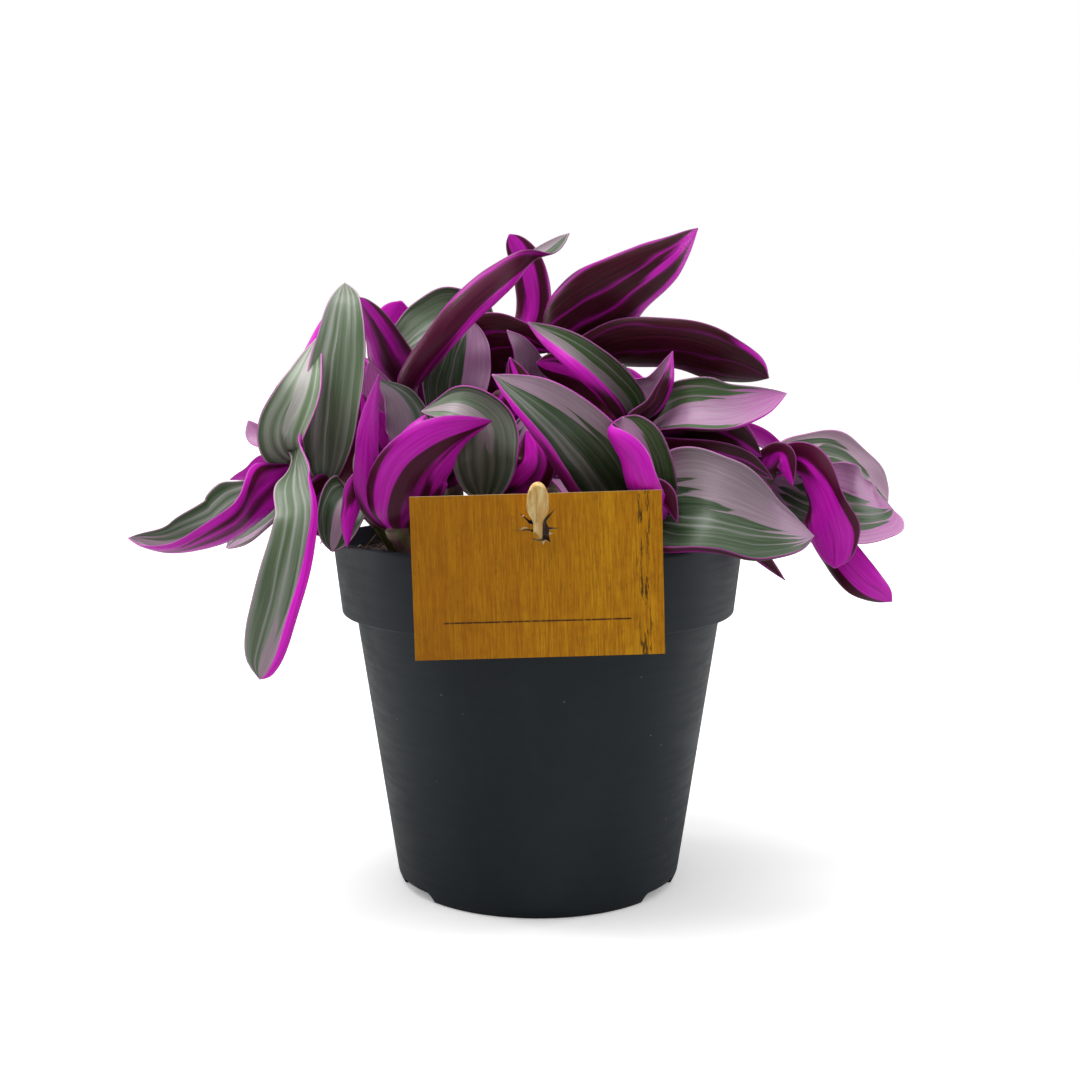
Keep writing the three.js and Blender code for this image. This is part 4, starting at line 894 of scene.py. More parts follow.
# The leaves that the photograph hides take one of five habits in turn.
SILVER_EDGED = dict(reach=(0.95, 0.9, 0.2, 0.9, 0.95), blush=(0.2, 0.4), tone=0.3, gap=0.2)
HALF_PINK = dict(reach=(0.9, 0.8, 0.6, 0.1, 0), blush=(0.55, 0.7), tone=0.5, gap=0.16)
MIXED = dict(reach=(0.5, 0.9, 0.8, 0.5, 0.9), blush=(0.3, 0.6), tone=0.4, gap=0.22)
RIGHT_GREEN = dict(reach=(0, 0.1, 0.5, 0.8, 0.95), blush=(0.6, 0.75), tone=0.65, gap=0.15)
ALL_GREEN = dict(reach=(1, 0.98, 0.85, 0.98, 1), blush=(0.1, 0.3), tone=0.15, gap=0.2)
# A leaf's shade below 1 paints the shadow it lies in; above 1 it paints the light and sheen it catches.
SHOOTS = {  # the stem of each, and its leaves
    "left": ([(-34, -12, 88), (-46, -16, 108), (-57, -18, 117), (-66, -18, 121), (-69, -18, 128)], [
        leaf([(-60, -18, 118), (-57, -26, 132), (-54.5, -26, 152), (-53.5, -20, 168), (-54.6, -11, 175)],
             18, [(-0.3, -1, 0.1), (-0.2, -1, 0.2), (-0.1, -0.9, 0.3), (0, -0.5, 1)],
             curl_l=(60, 45, 30, 10), curl_r=(60, 35, 20, 10), blunt=0.12, reach=(1, 0.98, 0.9, 0.98, 1),
             blush=(0.1, 0.1, 0.25, 0.6), tone=0.1, gap=0.24, shade=1.25),
        leaf([(-67, -18, 124), (-69.2, -29, 132), (-64, -31, 145), (-61, -19, 160)], 16.5, [(-0.3, -1, 0.1),
             (-0.2, -1, 0.2), (-0.3, -0.8, 0.3)], curl_l=(60, 45, 30), curl_r=(60, 35, 20), belly=0.8,
             reach=(0.95, 0.95, 0.4, 0.95, 1), blush=(0.05, 0.1, 0.2), tone=0, gap=0.26, shade=1.62),
        leaf([(-67, -18, 121), (-71, -25, 115), (-77, -34, 109), (-85, -40, 104), (-99, -40, 101.5),
             (-111, -36, 105)], 29, [(-0.4, -0.1, 1), (-0.1, -0.6, 0.8), (-0.1, -0.6, 0.8)],
             curl_l=(20, 15, 10), curl_r=(15, 15, 10), fold_l=(85, 85, 62, 48, 40),
             fold_r=(30, 30, 26, 34, 38), reach=(0.15, 0.95, 0.35, 0.85, 0.97), blush=(0.2, 0.45), tone=0.3,
             gap=0.28, shade=0.95),
        leaf([(-68, -19, 127), (-65, -30, 129.5), (-64, -41, 125.5), (-62.5, -49, 120), (-60.3, -56, 114),
             (-61, -59, 106), (-63.2, -60, 95), (-67.2, -59, 82), (-72.2, -57, 70.5)], 18.5,
             [(-0.5, -0.1, 0.8), (-0.95, -0.25, 0.3), (-0.35, -1, 0.2), (-0.4, -1, 0), (-0.5, -1, 0),
             (-0.4, -1, 0)], curl_l=(30, 30, 45, 70, 60), curl_r=(60, 30, 25, 25, 20), blunt=1, ripple=0.08,
             belly=1.5, reach=(0, 0.8, 0.7, 0.95, 0.97), blush=(0.1, 0.15, 0.4), tone=0.1, gap=0.26,
             rim_l=((0, 15, 110, 130), 0.64), shade=1.12),
        leaf([(-68, -17, 126), (-76, -12, 123), (-83, -10, 120), (-89, -8, 119)], 10, [(0, 0.6, 1),
             (0, 0.6, 1)], curl_l=(50, 30), curl_r=(50, 30), reach=(0.4, 0.2, 0.4, 0.3, 0.5),
             blush=(0.6, 0.8), tone=0.4),
        leaf([(-66, -17, 121), (-74, -14, 114), (-82, -12, 106), (-91, -6, 99)], 18, [(-0.4, -1, 0.6),
             (-0.4, -0.8, 0.6)], curl_l=(50, 30), curl_r=(50, 30), reach=(0.95, 0.4, 0.9, 0.3, 0.9),
             blush=(0.6, 0.6), tone=0.3),
        leaf([(-62, -18, 119), (-65, -6, 142), (-61.5, 0, 159), (-55, 4, 174.5)], 17, [(0.3, 1, 0.2),
             (0.2, 1, 0.2)], curl_l=(30,), curl_r=(30,), reach=(0.3, 0.2, 0.2, 0.2, 0.4), blush=(0.6, 0.7),
             tone=0.4),
        leaf([(-69, -17, 127), (-75, -14, 130), (-80, -12, 132), (-83, -10, 136)], 10, [(-0.1, -0.6, 1),
             (-0.3, -0.8, 0.5)], reach=(0.3, 0.2, 0.1, 0.2, 0.4), blush=(0.7, 0.8), tone=0.4),
        leaf([(-57, -19, 116), (-61, -22, 114), (-61, -24, 109), (-58, -26, 104)], 17, [(-0.8, 0.2, 0.6),
             (-0.8, 0.6, 0.2)], reach=(0.95, 0.7, 0.5, 0.8, 0.95), blush=(0.5, 0.7), tone=0.6),
        leaf([(-51, -18, 112), (-51, -31, 116), (-53, -39, 112), (-55, -42, 102)], 16, [(0.3, -0.6, 1),
             (0.2, -1, 0.2)], blunt=0.5, reach=(1, 1, 0.6, 1, 1), blush=(0.25, 0.5), tone=0.6, gap=0.1),
        leaf([(-55, -17, 115), (-53, -13, 122), (-50, -12, 132), (-50, -11, 144)], 14, [(0.1, 1, 0.2)],
             curl_l=(20,), curl_r=(20,), reach=(1, 0.9, 0.5, 0.9, 1), blush=(0.5, 0.6), tone=0.6),
    ]),
    "front_left": ([(-30, -30, 88), (-37, -38, 105), (-39, -40, 112), (-40, -37, 121), (-40, -33, 126)], [
        leaf([(-37, -39, 107), (-35, -50, 114), (-31, -55, 124), (-23, -54, 131), (-12, -46, 137)], 23,
             [(-0.3, 1, 0.3), (-0.2, 1, 0.4), (0, 0.8, 0.8)], curl_l=(55, 35, 20), curl_r=(55, 40, 30),
             reach=(0.6, 0.35, 0.95, 0.1, 0.55), blush=(0.6, 0.8), tone=0.4, gap=0.2, shade=0.8),
        leaf([(-39, -39, 108), (-42, -47, 117), (-43, -49, 132), (-42, -42, 149)], 12, [(-0.8, 0.6, 0.1),
             (-0.9, 0.5, 0.1)], curl_l=(70, 50, 20), curl_r=(70, 50, 20), reach=(0.3, 0.2, 0.4, 0.15, 0.3),
             blush=(0.5, 0.7), tone=0.5, shade=0.68),
        leaf([(-39, -38, 112), (-45, -42, 121), (-46, -41, 132), (-47, -36, 139)], 10, [(-0.9, -0.4, 0.1)],
             curl_l=(60, 40), curl_r=(60, 40), reach=(0.9, 0.8, 0.5, 0.8, 0.9), blush=(0.3, 0.6), tone=0.4),
        leaf([(-39, -39, 113), (-45, -45, 119), (-48, -48, 113), (-50, -50, 104)], 13, [(-0.8, 0.3, 0.8),
             (-0.9, 0.4, 0)], curl_l=(60, 40), curl_r=(60, 40), reach=(0.8, 0.5, 0.2, 0.4, 0.7),
             blush=(0.6, 0.8), tone=0.4),
        leaf([(-40, -33, 124), (-36, -29, 131), (-38, -25, 141), (-45, -22, 148)], 15, [(0.3, -1, 0.2),
             (0.4, -0.7, 0.8)], reach=(0, 0.05, 0.3, 0.95, 1), blush=(0.5, 0.55), tone=0.35, gap=0.12,
             shade=0.36),
        leaf([(-39, -36, 117), (-37, -34, 124), (-34, -32, 131), (-31, -27, 138)], 15, [(0.3, 1, 0.2)],
             reach=(0.5, 0.2, 0.3, 0.4, 0.6), blush=(0.6, 0.8), tone=0.4),
    ]),
    "centre": ([(-10, -18, 88), (-15, -20, 108), (-18, -18, 121), (-24, -9, 131), (-25, -6, 136)], [
        leaf([(-15, -21, 115), (-14, -29, 126), (-15, -33, 135), (-22, -34, 140), (-32, -28, 139)], 21,
             [(0, -1, 0.2), (0, -1, 0.6), (-0.2, -0.7, 0.8)], reach=(1, 0.95, 0.45, 0.95, 1),
             blush=(0.15, 0.3), tone=0.15, gap=0.34, rim_r=(60, 0.75), shade=1.2),
        leaf([(-25, -6, 133), (-24, -7, 143), (-22, -5.5, 155), (-20, -1, 165)], 21, [(0.1, -1, 0.1),
             (0.1, -1, 0.3)], curl_l=(35, 20, 15), curl_r=(60, 35, 20), blunt=0.35,
             reach=(0.95, 0.95, 0.8, 0, 0.25), blush=(0.7, 0.8), tone=0.7, gap=0.1, shade=0.6),
        leaf([(-17, -18, 119), (-6, -21, 127), (-1, -20, 135), (2, -15, 142)], 14, [(0, -1, 0.6)],
             reach=(0.8, 0.5, 0.2, 0.4, 0.9), blush=(0.5, 0.7), tone=0.5),
        leaf([(-15, -19, 114), (-8, -27, 119), (-2, -30, 125), (-3, -28, 134)], 20, [(0.2, 1, 0.2)],
             reach=(1, 0.9, 0.5, 0.9, 1), blush=(0.5, 0.6), tone=0.6),
        leaf([(-20, -14, 125), (-12, -12, 134), (-6, -12, 144), (-8, -10, 154)], 16, [(0.1, 1, 0.2)],
             reach=(1, 0.95, 0.7, 0.95, 1), blush=(0.4, 0.6), tone=0.6),
    ]),
    "top_left": ([(-20, 8, 88), (-26, 7, 118), (-33, 2, 134), (-37, -2, 141)], [
        leaf([(-36, -2, 139), (-36.2, -17, 146), (-27.6, -25, 156.5), (-20.5, -25, 165),
             (-12.6, -19, 172.6), (-4.6, -10, 179.1), (3, -3, 184.5), (9, 2, 190)], 14, [(0, 1, 0.2),
             (-0.2, 1, 0.3), (-0.2, 1, 0.3), (0, -0.9, 0.5)], curl_l=(110, 95, 60, 20),
             curl_r=(110, 95, 60, 20), blunt=0.25, reach=(0, 0.3, 0.9, 0.98, 0.98),
             blush=(0.5, 0.5, 0.5, 0.35), tone=0.4, gap=0.14),
        leaf([(-34, 1, 136), (-42, -4, 149), (-46.5, -4, 160), (-52.3, -1, 171.5)], 17, [(0.3, 1, 0.1),
             (0.5, 0.8, 0.4)], blunt=0.3, reach=(0.9, 0.6, 0.9, 0.5, 0.9), blush=(0.6, 0.8), tone=0.4,
             shade=0.56),
        leaf([(-27, 6, 120), (-37, -2, 130), (-44, -7, 140), (-49, -5, 153)], 18, [(0, -1, 0.3)],
             curl_l=(25,), curl_r=(25,), reach=(0, 0.1, 0.2, 0.5, 0.9), blush=(0.9, 1), tone=0.5,
             shade=0.8),
        leaf([(-26, 7, 115), (-22, -2, 122), (-14, -8, 124), (-6, -8, 118)], 14, [(0, -0.6, 1)],
             **SILVER_EDGED),
        leaf([(-28, 5, 122), (-34, -12, 124), (-40, -19, 130), (-46, -19, 140)], 17, [(0.2, 1, 0.3)],
             curl_l=(20,), curl_r=(20,), reach=(0.9, 0.5, 0.6, 0.4, 0.9), blush=(0.5, 0.6), tone=0.6),
    ]),
    "top_centre": ([(-6, 12, 88), (-8, 13, 120), (-9, 13, 143), (-11, 12, 154), (-17, 9, 161)], [
        leaf([(-16, 10, 162), (-20, 10, 165.5), (-28.5, 8, 164.2), (-38, 6, 158.2), (-46, 6.5, 151)], 21,
             [(0.2, -1, 0.6), (-0.1, -1, 0.7), (-0.3, -1, 0.4)], reach=(1, 1, 0.85, 1, 1),
             blush=(0.1, 0.1, 0.25, 0.75), tone=0.05, gap=0.24, shade=1.03),
        leaf([(-11, 14, 153), (-2, 17, 166), (-2.6, 16, 180), (-8.6, 15, 191)], 12, [(0, 1, 0.2)],
             blunt=0.7, reach=(1, 0.8, 0.05, 0.8, 1), blush=(0.7, 0.9), tone=0.4),
        leaf([(-9, 13, 141), (-17, 7, 149), (-15, 2, 157), (-6, 1, 158), (4, 5, 156)], 23, [(0.3, 1, 0.3),
             (0.2, 1, 0.5), (0, 0.9, 0.8)], curl_l=(50, 30, 20), curl_r=(50, 30, 20),
             reach=(1, 1, 0.8, 1, 1), blush=(0.4, 0.6), tone=0.6, gap=0.1),
        leaf([(-9, 13, 146), (-3, 2, 149), (-5, -3, 157), (-9, -3, 162)], 11, [(0.2, -1, 0.3)],
             reach=(0, 0.05, 0.05, 0.2, 0.4), blush=(0.6, 0.62), tone=0.5, shade=0.8),
        leaf([(-8, 13, 116), (0, 6, 124), (6, 0, 132), (10, -4, 143)], 18, [(0.2, 1, 0.3)], **HALF_PINK),
        leaf([(-8, 13, 112), (-5, 4, 117), (-5, -6, 116), (-6, -12, 110)], 12, [(0, 0.3, 1)], **MIXED),
        leaf([(-8, 13, 126), (-16, 18, 136), (-22, 20, 146), (-26, 18, 154)], 17, [(0.2, 1, 0.3)],
             **RIGHT_GREEN),
    ]),
    "top_right": ([(8, 18, 88), (10, 16, 120), (9, 13, 144), (5, 12, 156), (3, 12, 161)], [
        leaf([(3, 12, 158), (9.4, 4, 163), (24.7, -4, 172.8), (38.5, 0, 182.4), (47, 8, 192)], 25.5,
             [(0.2, 1, 0.4), (0, 1, 0.5), (-0.2, 1, 0.4)], curl_l=(60, 35, 20), curl_r=(60, 35, 20),
             belly=0.85, reach=(0.4, 0.75, 0.66, 0.85, 0.97), blush=(0.6, 0.9), tone=0.62, gap=0.17),
        leaf([(7, 12, 147), (16, 6, 152.5), (28, 0, 155.2), (42, -4, 154.8), (55, -4, 151.2),
             (67.5, 1, 148.2)], 24, [(0, 0.5, 1), (0, 0.9, 0.8), (-0.1, 0.8, 0.8)], curl_l=(50, 50, 30),
             curl_r=(50, 50, 30), blunt=0.6, belly=0.85, reach=(0.9, 1, 0.96, 1, 0.75), blush=(0.5, 0.7),
             tone=0.6, gap=0.1, shade=0.95),
        leaf([(10, 16, 122), (20, 12, 132), (32, 10, 138), (44, 10, 138)], 17, [(0, 0.6, 1)], **ALL_GREEN),
        leaf([(9, 14, 138), (14, 20, 148), (16, 26, 156), (14, 30, 162)], 15, [(0, 1, 0.2)],
             **SILVER_EDGED),
    ]),
    "right": ([(14, 0, 88), (18, -2, 112), (25, -9, 128), (30, -13, 134)], [
        leaf([(29, -12, 133), (24, -20, 142), (12, -23, 153), (-3, -10, 164)], 14, [(-0.4, -1, 0.4),
             (-0.4, -1, 0.4)], curl_l=(100, 90, 50), curl_r=(60, 40, 30), broad_l=1.4,
             reach=(0.6, 0.5, 0.3, 0.1, 0.1, 0.6, 0.95, 1, 1), blush=(0.12, 0.3), tone=0.95, gap=0.16,
             rim_l=(110, 0.5), shade=0.87),
        leaf([(25, -14, 136), (33, -20, 138.5), (37.2, -22.5, 146), (37.3, -22, 155.5)], 32,
             [(-0.9, -0.1, 0.4), (-0.93, -0.05, 0.37)], curl_l=(20, 20), curl_r=(20, 20),
             fold_l=(55, 55, 60), fold_r=(28, 26, 28), broad_l=1.15, ripple=0.02, belly=0.5,
             reach=(0.6, 0.3, 0.3, 0.75, 0.8), blush=(0.62, 0.7), tone=0.9, gap=0.12, shade=0.95),
        leaf([(29, -13, 133), (40, -25, 138.5), (54, -28, 139.5), (69, -22, 144)], 20.5, [(0, -1, 0.8),
             (0, -1, 0.7)], reach=(0.75, 0.7, 0.62, 0.3, 0, 0, 0.5, 0.72, 0.72), blush=(0.5, 0.7, 0.92),
             tone=0.85, gap=0.12, rim_r=(90, 0.82), shade=0.93),
        leaf([(27, -11, 130), (42, -18, 133.5), (53, -19, 131.5), (63.5, -14, 126)], 19, [(0, 0.9, 0.5)],
             curl_l=(25,), curl_r=(25,), reach=(0.95, 0.9, 0.8, 0.95, 1), blush=(0.6, 0.8), tone=0.6,
             shade=0.8),
        leaf([(24, -9, 125), (42, -26, 126), (54, -26, 124.5), (66, -20, 120)], 18, [(0, 0.6, 0.9)],
             curl_l=(25,), curl_r=(25,), reach=(1, 1, 0.9, 1, 1), blush=(0.6, 0.7), tone=0.7, shade=0.8),
        leaf([(17, -2, 110), (9, -12, 118), (7, -20, 119), (9, -27, 113)], 13, [(0, 0.4, 1)], curl_l=(30,),
             curl_r=(30,), **HALF_PINK),
        leaf([(22, -7, 118), (38, -16, 120.5), (54, -20, 121), (66, -18, 117)], 20, [(0, 0.5, 1)],
             reach=(0.9, 0.8, 0.6, 0.8, 0.9), blush=(0.6, 0.8), tone=0.5),
        leaf([(27, -11, 131), (22, -10, 142), (13, -7.5, 149), (-0.5, -6, 152.5)], 16, [(0, 1, 0.3)],
             curl_l=(25,), curl_r=(25,), blunt=0.4, reach=(1, 0.9, 0.5, 0.9, 1), blush=(0.5, 0.6),
             tone=0.6),
    ]),
    "front_right": ([(28, -24, 88), (31, -32, 105), (32, -36, 113), (33, -37, 118)], [
        leaf([(31, -33, 107), (21, -40, 117), (12, -48, 129), (2, -52, 139), (-12, -44, 149)], 29,
             [(-0.4, -1, 0), (-0.3, -1, 0.15), (-0.2, -1, 0.3)], curl_l=(40, 25, 20), curl_r=(60, 35, 25),
             belly=0.85, reach=(0.5, 0.97, 0.9, 0.45, 0.05), blush=(0.3, 0.5), tone=0.42, gap=0.36,
             rim_l=(130, 0.6), shade=1),
        leaf([(32, -37, 113), (29.5, -46, 121), (26.5, -50, 130), (22, -48, 138)], 17, [(-0.1, -1, 0.1)],
             curl_l=(235, 225, 200, 120), curl_r=(60, 50, 40, 30), blunt=0.6, broad_l=2.6,
             reach=(0.3, 0.1, 0.05, 0.95, 1), blush=(0.55, 0.6), tone=0.95, gap=0.06, shade=0.95),
        leaf([(32, -36, 112), (30, -48, 119), (33, -54, 118), (36, -56, 111)], 8, [(0, 0.3, 1),
             (0.3, 0.9, 0.2)], reach=(1, 1, 0.95, 1, 1), blush=(0.6, 0.8), tone=0.5, shade=0.9),
        leaf([(32, -38.6, 111.5), (38.5, -46, 112.5), (47, -51.5, 112.3), (62, -49.5, 108.5),
             (74, -40, 106)], 36, [(-0.6, -0.75, 0.3), (0.1, -1, 0.6), (0.1, -1, 0.6)], curl_l=(25, 25, 20),
             curl_r=(25, 20, 15), fold_r=(45, 12, 0, 0), belly=0.62, reach=(0, 0.35, 0.62, 0.8, 1),
             blush=(0.3, 0.42, 0.7), tone=0.72, gap=0.16, rim_r=(100, 0.8), shade=0.88),
        leaf([(31, -33, 107), (43, -42, 109), (55, -46, 103.5), (66, -43, 94.5)], 9, [(0, 0.6, 1)],
             reach=(1, 1, 0.9, 1, 1), blush=(0.6, 0.8), tone=0.6),
    ]),
    "far_right": ([(36, 6, 88), (52, 5, 108), (64, 3, 117), (70, 2, 121)], [
        leaf([(69, 3, 120), (80, 8, 124), (93, 9, 121.5), (106, 12, 111)], 20, [(0, -0.9, 0.8)], blunt=0.5,
             ripple=0.14, reach=(0.1, 0.6, 0.85, 0.9, 0.85), blush=(0.3, 0.5), tone=0.6, gap=0.2, begin=0.3,
             shade=1.5),
        leaf([(67, 2, 118), (79, -2, 113), (90, -6, 110.5), (100.5, 1, 109), (107, 10.5, 109)], 27,
             [(0, -1, 0.5)], blunt=0.3, ripple=0.14, reach=(0, 0.1, 0.62, 0.85, 0.8, 0.5, 0.1),
             blush=(0.7, 0.85), tone=0.72, gap=0.16, begin=0.12),
        leaf([(70, 1, 121), (74, -9, 122), (77.5, -16, 117), (81, -19, 106), (85, -14, 94)], 22,
             [(-0.3, 0.5, 1), (0.6, 0.5, 0.4), (0.6, 0.8, 0)], blunt=0.6, ripple=0.14,
             reach=(0.95, 0.5, 0.2, 0.5, 0.9), blush=(0.7, 0.9), tone=0.4, crumple=0.22),
        leaf([(66, 3, 118), (66, -8, 122), (69, -15, 126), (72, -18, 118)], 11, [(0, 0.5, 1),
             (0.5, 0.8, 0)], reach=(0.95, 0.8, 0.6, 0.8, 0.9), blush=(0.6, 0.8), tone=0.5),
        leaf([(66, 3, 117), (77, 5, 109), (86, 0, 98.5), (95, -4, 88.5), (105.5, 2, 82)], 15, [(0, 0.6, 1),
             (0, 1, 0.4)], blunt=0.5, reach=(0.98, 0.8, 0.1, 0.05, 0.1), blush=(0.6, 0.9), tone=0.5),
        leaf([(58, 4, 112), (50, 14, 122), (46, 18, 130), (40, 20, 136)], 14, [(0, -0.6, 1)], **MIXED),
        leaf([(50, 5, 106), (62, 18, 110), (72, 26, 106), (82, 30, 96)], 16, [(0, 0.4, 1)], **RIGHT_GREEN),
    ]),
    "back_left": ([(-18, 28, 88), (-26, 38, 108), (-34, 46, 120), (-37, 48, 128)], [
        leaf([(-34, 46, 120), (-50, 52, 128), (-66, 56, 126), (-80, 58, 114)], 20, [(0, 0.4, 1)],
             **ALL_GREEN),
        leaf([(-28, 40, 112), (-32, 52, 116), (-36, 63, 109), (-40, 70, 94)], 20, [(0, 0.5, 1),
             (0, 1, 0.3)], **SILVER_EDGED),
        leaf([(-36, 48, 126), (-44, 48, 143), (-48, 48, 160), (-44, 46, 173)], 17, [(0, 1, 0.2)], blunt=0.8,
             reach=(0.2, 0.2, 0.2, 0.2, 0.2), blush=(0.6, 0.66), tone=0.6),
        leaf([(-37, 48, 128), (-46, 44, 140), (-54, 42, 150), (-58, 44, 156)], 15, [(-0.4, 0.5, 0.6)],
             **HALF_PINK),
        leaf([(-23, 34, 103), (-44, 44, 112), (-60, 50, 106), (-72, 50, 94)], 17, [(-0.2, 0.2, 1)],
             **MIXED),
        leaf([(-29, 41, 113), (-44, 32, 126), (-58, 24, 130), (-70, 17, 124)], 17, [(0, 0.2, 1)],
             **RIGHT_GREEN),
        leaf([(-35, 47, 122), (-24, 40, 130), (-14, 34, 134), (-6, 32, 132)], 15, [(0, 0.2, 1)],
             **ALL_GREEN),
    ]),
    "back": ([(2, 34, 88), (4, 42, 108), (6, 50, 122), (6, 52, 132)], [
        leaf([(6, 50, 124), (8, 60, 127), (10, 67, 119), (10, 71, 105)], 19, [(0, 0.6, 1), (0, 1, 0.3)],
             **SILVER_EDGED),
        leaf([(4, 43, 111), (-8, 53, 118), (-16, 61, 114), (-22, 68, 102)], 17, [(0, 0.6, 1),
             (-0.3, 1, 0.3)], **HALF_PINK),
        leaf([(4, 44, 113), (16, 53, 120), (22, 60, 116), (27, 66, 104)], 17, [(0, 0.6, 1), (0.3, 1, 0.3)],
             **MIXED),
        leaf([(6, 51, 129), (2, 45, 142), (-2, 41, 152), (-6, 40, 160)], 15, [(0, 1, 0.2)], **RIGHT_GREEN),
        leaf([(6, 52, 131), (14, 46, 142), (20, 42, 150), (24, 42, 157)], 14, [(0.3, 0.8, 0.3)],
             **ALL_GREEN),
        leaf([(5, 47, 117), (1, 36, 124), (-3, 27, 126), (-6, 22, 122)], 14, [(0, 0.1, 1)], **SILVER_EDGED),
    ]),
    "back_right": ([(22, 26, 88), (30, 36, 108), (38, 44, 118), (42, 46, 126)], [
        leaf([(38, 44, 118), (54, 46, 128), (70, 46, 128), (86, 42, 118)], 20, [(0, 0.4, 1)], **HALF_PINK),
        leaf([(34, 40, 113), (38, 52, 116), (42, 63, 107), (44, 70, 92)], 20, [(0, 0.5, 1), (0, 1, 0.3)],
             **MIXED),
        leaf([(41, 46, 124), (36, 52, 136), (30, 52, 146), (24, 46, 152)], 15, [(0, 1, 0.2)],
             **RIGHT_GREEN),
        leaf([(42, 46, 126), (52, 44, 134), (62, 42, 138), (72, 44, 136)], 14, [(0.2, 0.4, 1)],
             **ALL_GREEN),
        leaf([(27, 33, 103), (46, 40, 112), (62, 42, 106), (76, 44, 94)], 17, [(0.2, 0.2, 1)],
             **SILVER_EDGED),
        leaf([(34, 40, 113), (30, 32, 124), (34, 26, 132), (40, 24, 140)], 14, [(0.2, 0.6, 1)],
             **HALF_PINK),
    ]),
}

for number, (name, (stem, leaves)) in enumerate(SHOOTS.items()):
    growth = Growth()
    for k, spec in enumerate(leaves):
        grow_leaf(growth, number * 16 + k, spec)
    grow_stem(growth, number, stem, leaves)
    piece = in_scene("leafy_" + name, growth.mesh("leafy_" + name, [leaf_upper, leaf_under, stem_skin]))
    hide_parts("shoot_" + name)
    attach(piece, "root")


# ---- Stick -------------------------------------------------------------------------------
# A flat stick of pale sawn wood with a rounded head. It goes through the slit of the name card
# from the front, and its shaft runs down and back into the mix.
STICK_WIDE, STICK_NECK, STICK_THICK = 5.6, 2.4, 2.0
STICK_TOP, STICK_FOOT, STICK_LEAN = 15.0, 28.0, 36
STICK_Y, STICK_Z = -61, 110
STICK_WORN = 0.45  # how far its edges are rounded off


def soft_curve(points, steps=10):
    """The outline through Bezier pieces: each has two handles and an end."""
    path = [Vector(points[0])]
    for first, second, end in zip(points[1::3], points[2::3], points[3::3]):
        start, first, second, end = path[-1], Vector(first), Vector(second), Vector(end)
        for k in range(1, steps + 1):
            w = k / steps
            path.append(start * (1 - w) ** 3 + first * 3 * w * (1 - w) ** 2
                        + second * 3 * w * w * (1 - w) + end * w ** 3)
    return path


half, neck = STICK_WIDE / 2, STICK_NECK / 2
right_side = soft_curve([(neck, 2), (neck, 4), (half, 5), (half, 8), (half, 12),
                         (half - 1, STICK_TOP - 0.1), (0, STICK_TOP)])
outline = [(neck, -STICK_FOOT)] + [(p.x, p.y) for p in right_side]
outline += [(-x, y) for x, y in outline[-2::-1]]
stick_place = (Matrix.Translation((0, STICK_Y * MM, STICK_Z * MM))
               @ Matrix.Rotation(math.radians(90 + STICK_LEAN), 4, "X")
               @ Matrix.Translation((0, 0, -STICK_THICK / 2 * MM)))
stick = prism("wooden_stick", outline, STICK_THICK, stick_place)
edge = stick.modifiers.new("worn_edge", "BEVEL")
edge.width, edge.segments = STICK_WORN * MM, 3
edge.limit_method, edge.angle_limit = "ANGLE", math.radians(50)
as_mesh(stick)
smooth(stick, 50)

# Long wood fibres, for the stick and the card: light and dark lines and fine pores.
wood_group, given, out = shader_group("wood_fibres", {"Place": None, "Fine": 1.0}, ("Bands", "Pores"))
place = add_node(wood_group, "ShaderNodeVectorMath", {
    0: given["Place"], "Scale": given["Fine"]}, operation="SCALE").outputs[0]
wood_group.links.new(noise(wood_group, place, 0.5, 5, 0.65), out["Bands"])
wood_group.links.new(fade(wood_group, noise(wood_group, place, 2.2, 2, 0.5), 0.58, 0.68), out["Pores"])

pale_wood, tree, shader = new_material("pale_wood")
lean = mapped(tree, add_node(tree, "ShaderNodeTexCoord").outputs["Object"],
              Rotation=(-math.radians(STICK_LEAN), 0, 0))
lean = mapped(tree, lean, Scale=(1 / MM, 1 / MM, 0.09 / MM))
wood = use_group(tree, wood_group, {"Place": lean, "Fine": 1.8})
tint = mixed(tree, fade(tree, wood["Bands"], 0.36, 0.66), colour(232, 178, 92), colour(255, 230, 160))
tint = mixed(tree, times(tree, wood["Pores"], 0.6), tint, colour(186, 138, 80))
dust = use_group(tree, dust_group, {"Place": object_place(tree), "Amount": 0.6})
tint = mixed(tree, times(tree, dust["Film"], 0.35), tint, colour(164, 124, 76))
dress(tree, shader, tint, fade(tree, wood["Bands"], 0.3, 0.7, 0.55, 0.72),
      bump(tree, wood["Pores"], -0.08, 0.8, bump(tree, wood["Bands"], 0.12, 0.8)))
stick.data.materials.append(pale_wood)
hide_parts("stick")
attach(stick, "root")


# ---- Name card ---------------------------------------------------------------------------
# A thin card faced with honey-coloured wood grain, blank but for one plain ruled line. The
# stick was pushed through it, so its slit is torn, with cracks around it and small lifted flaps.
CARD_WIDE, CARD_HIGH, CARD_THICK = 64.0, 42.0, 0.8
CARD_Y, CARD_Z, CARD_TILT = -61, 98, 1.65
CARD_BOW = 0.35  # how far the middle stands forward of the edges
RULE_Z, RULE_FROM, RULE_TO = -11.6, -24.5, 23.6
CRACKED = (24.5, 26.5, 28.0, 30.0)  # where, across the card, its dark cracks fade in and out
TEAR = [  # the hole and the cracks that run out of it, from the card's middle
    (-1.2, 9.5), (-1.6, 11.6), (-6.0, 11.8), (-1.7, 12.05), (-1.9, 13.6), (-4.6, 16.6), (-1.6, 14.2),
    (-0.6, 14.6), (0.9, 14.7), (1.9, 14.4), (5.2, 17.3), (2.5, 13.8), (3.1, 12.4), (6.4, 12.05),
    (3.3, 11.8), (3.1, 10.2), (3.5, 8.4), (2.3, 9.1), (1.2, 8.8), (-0.2, 9.0),
]
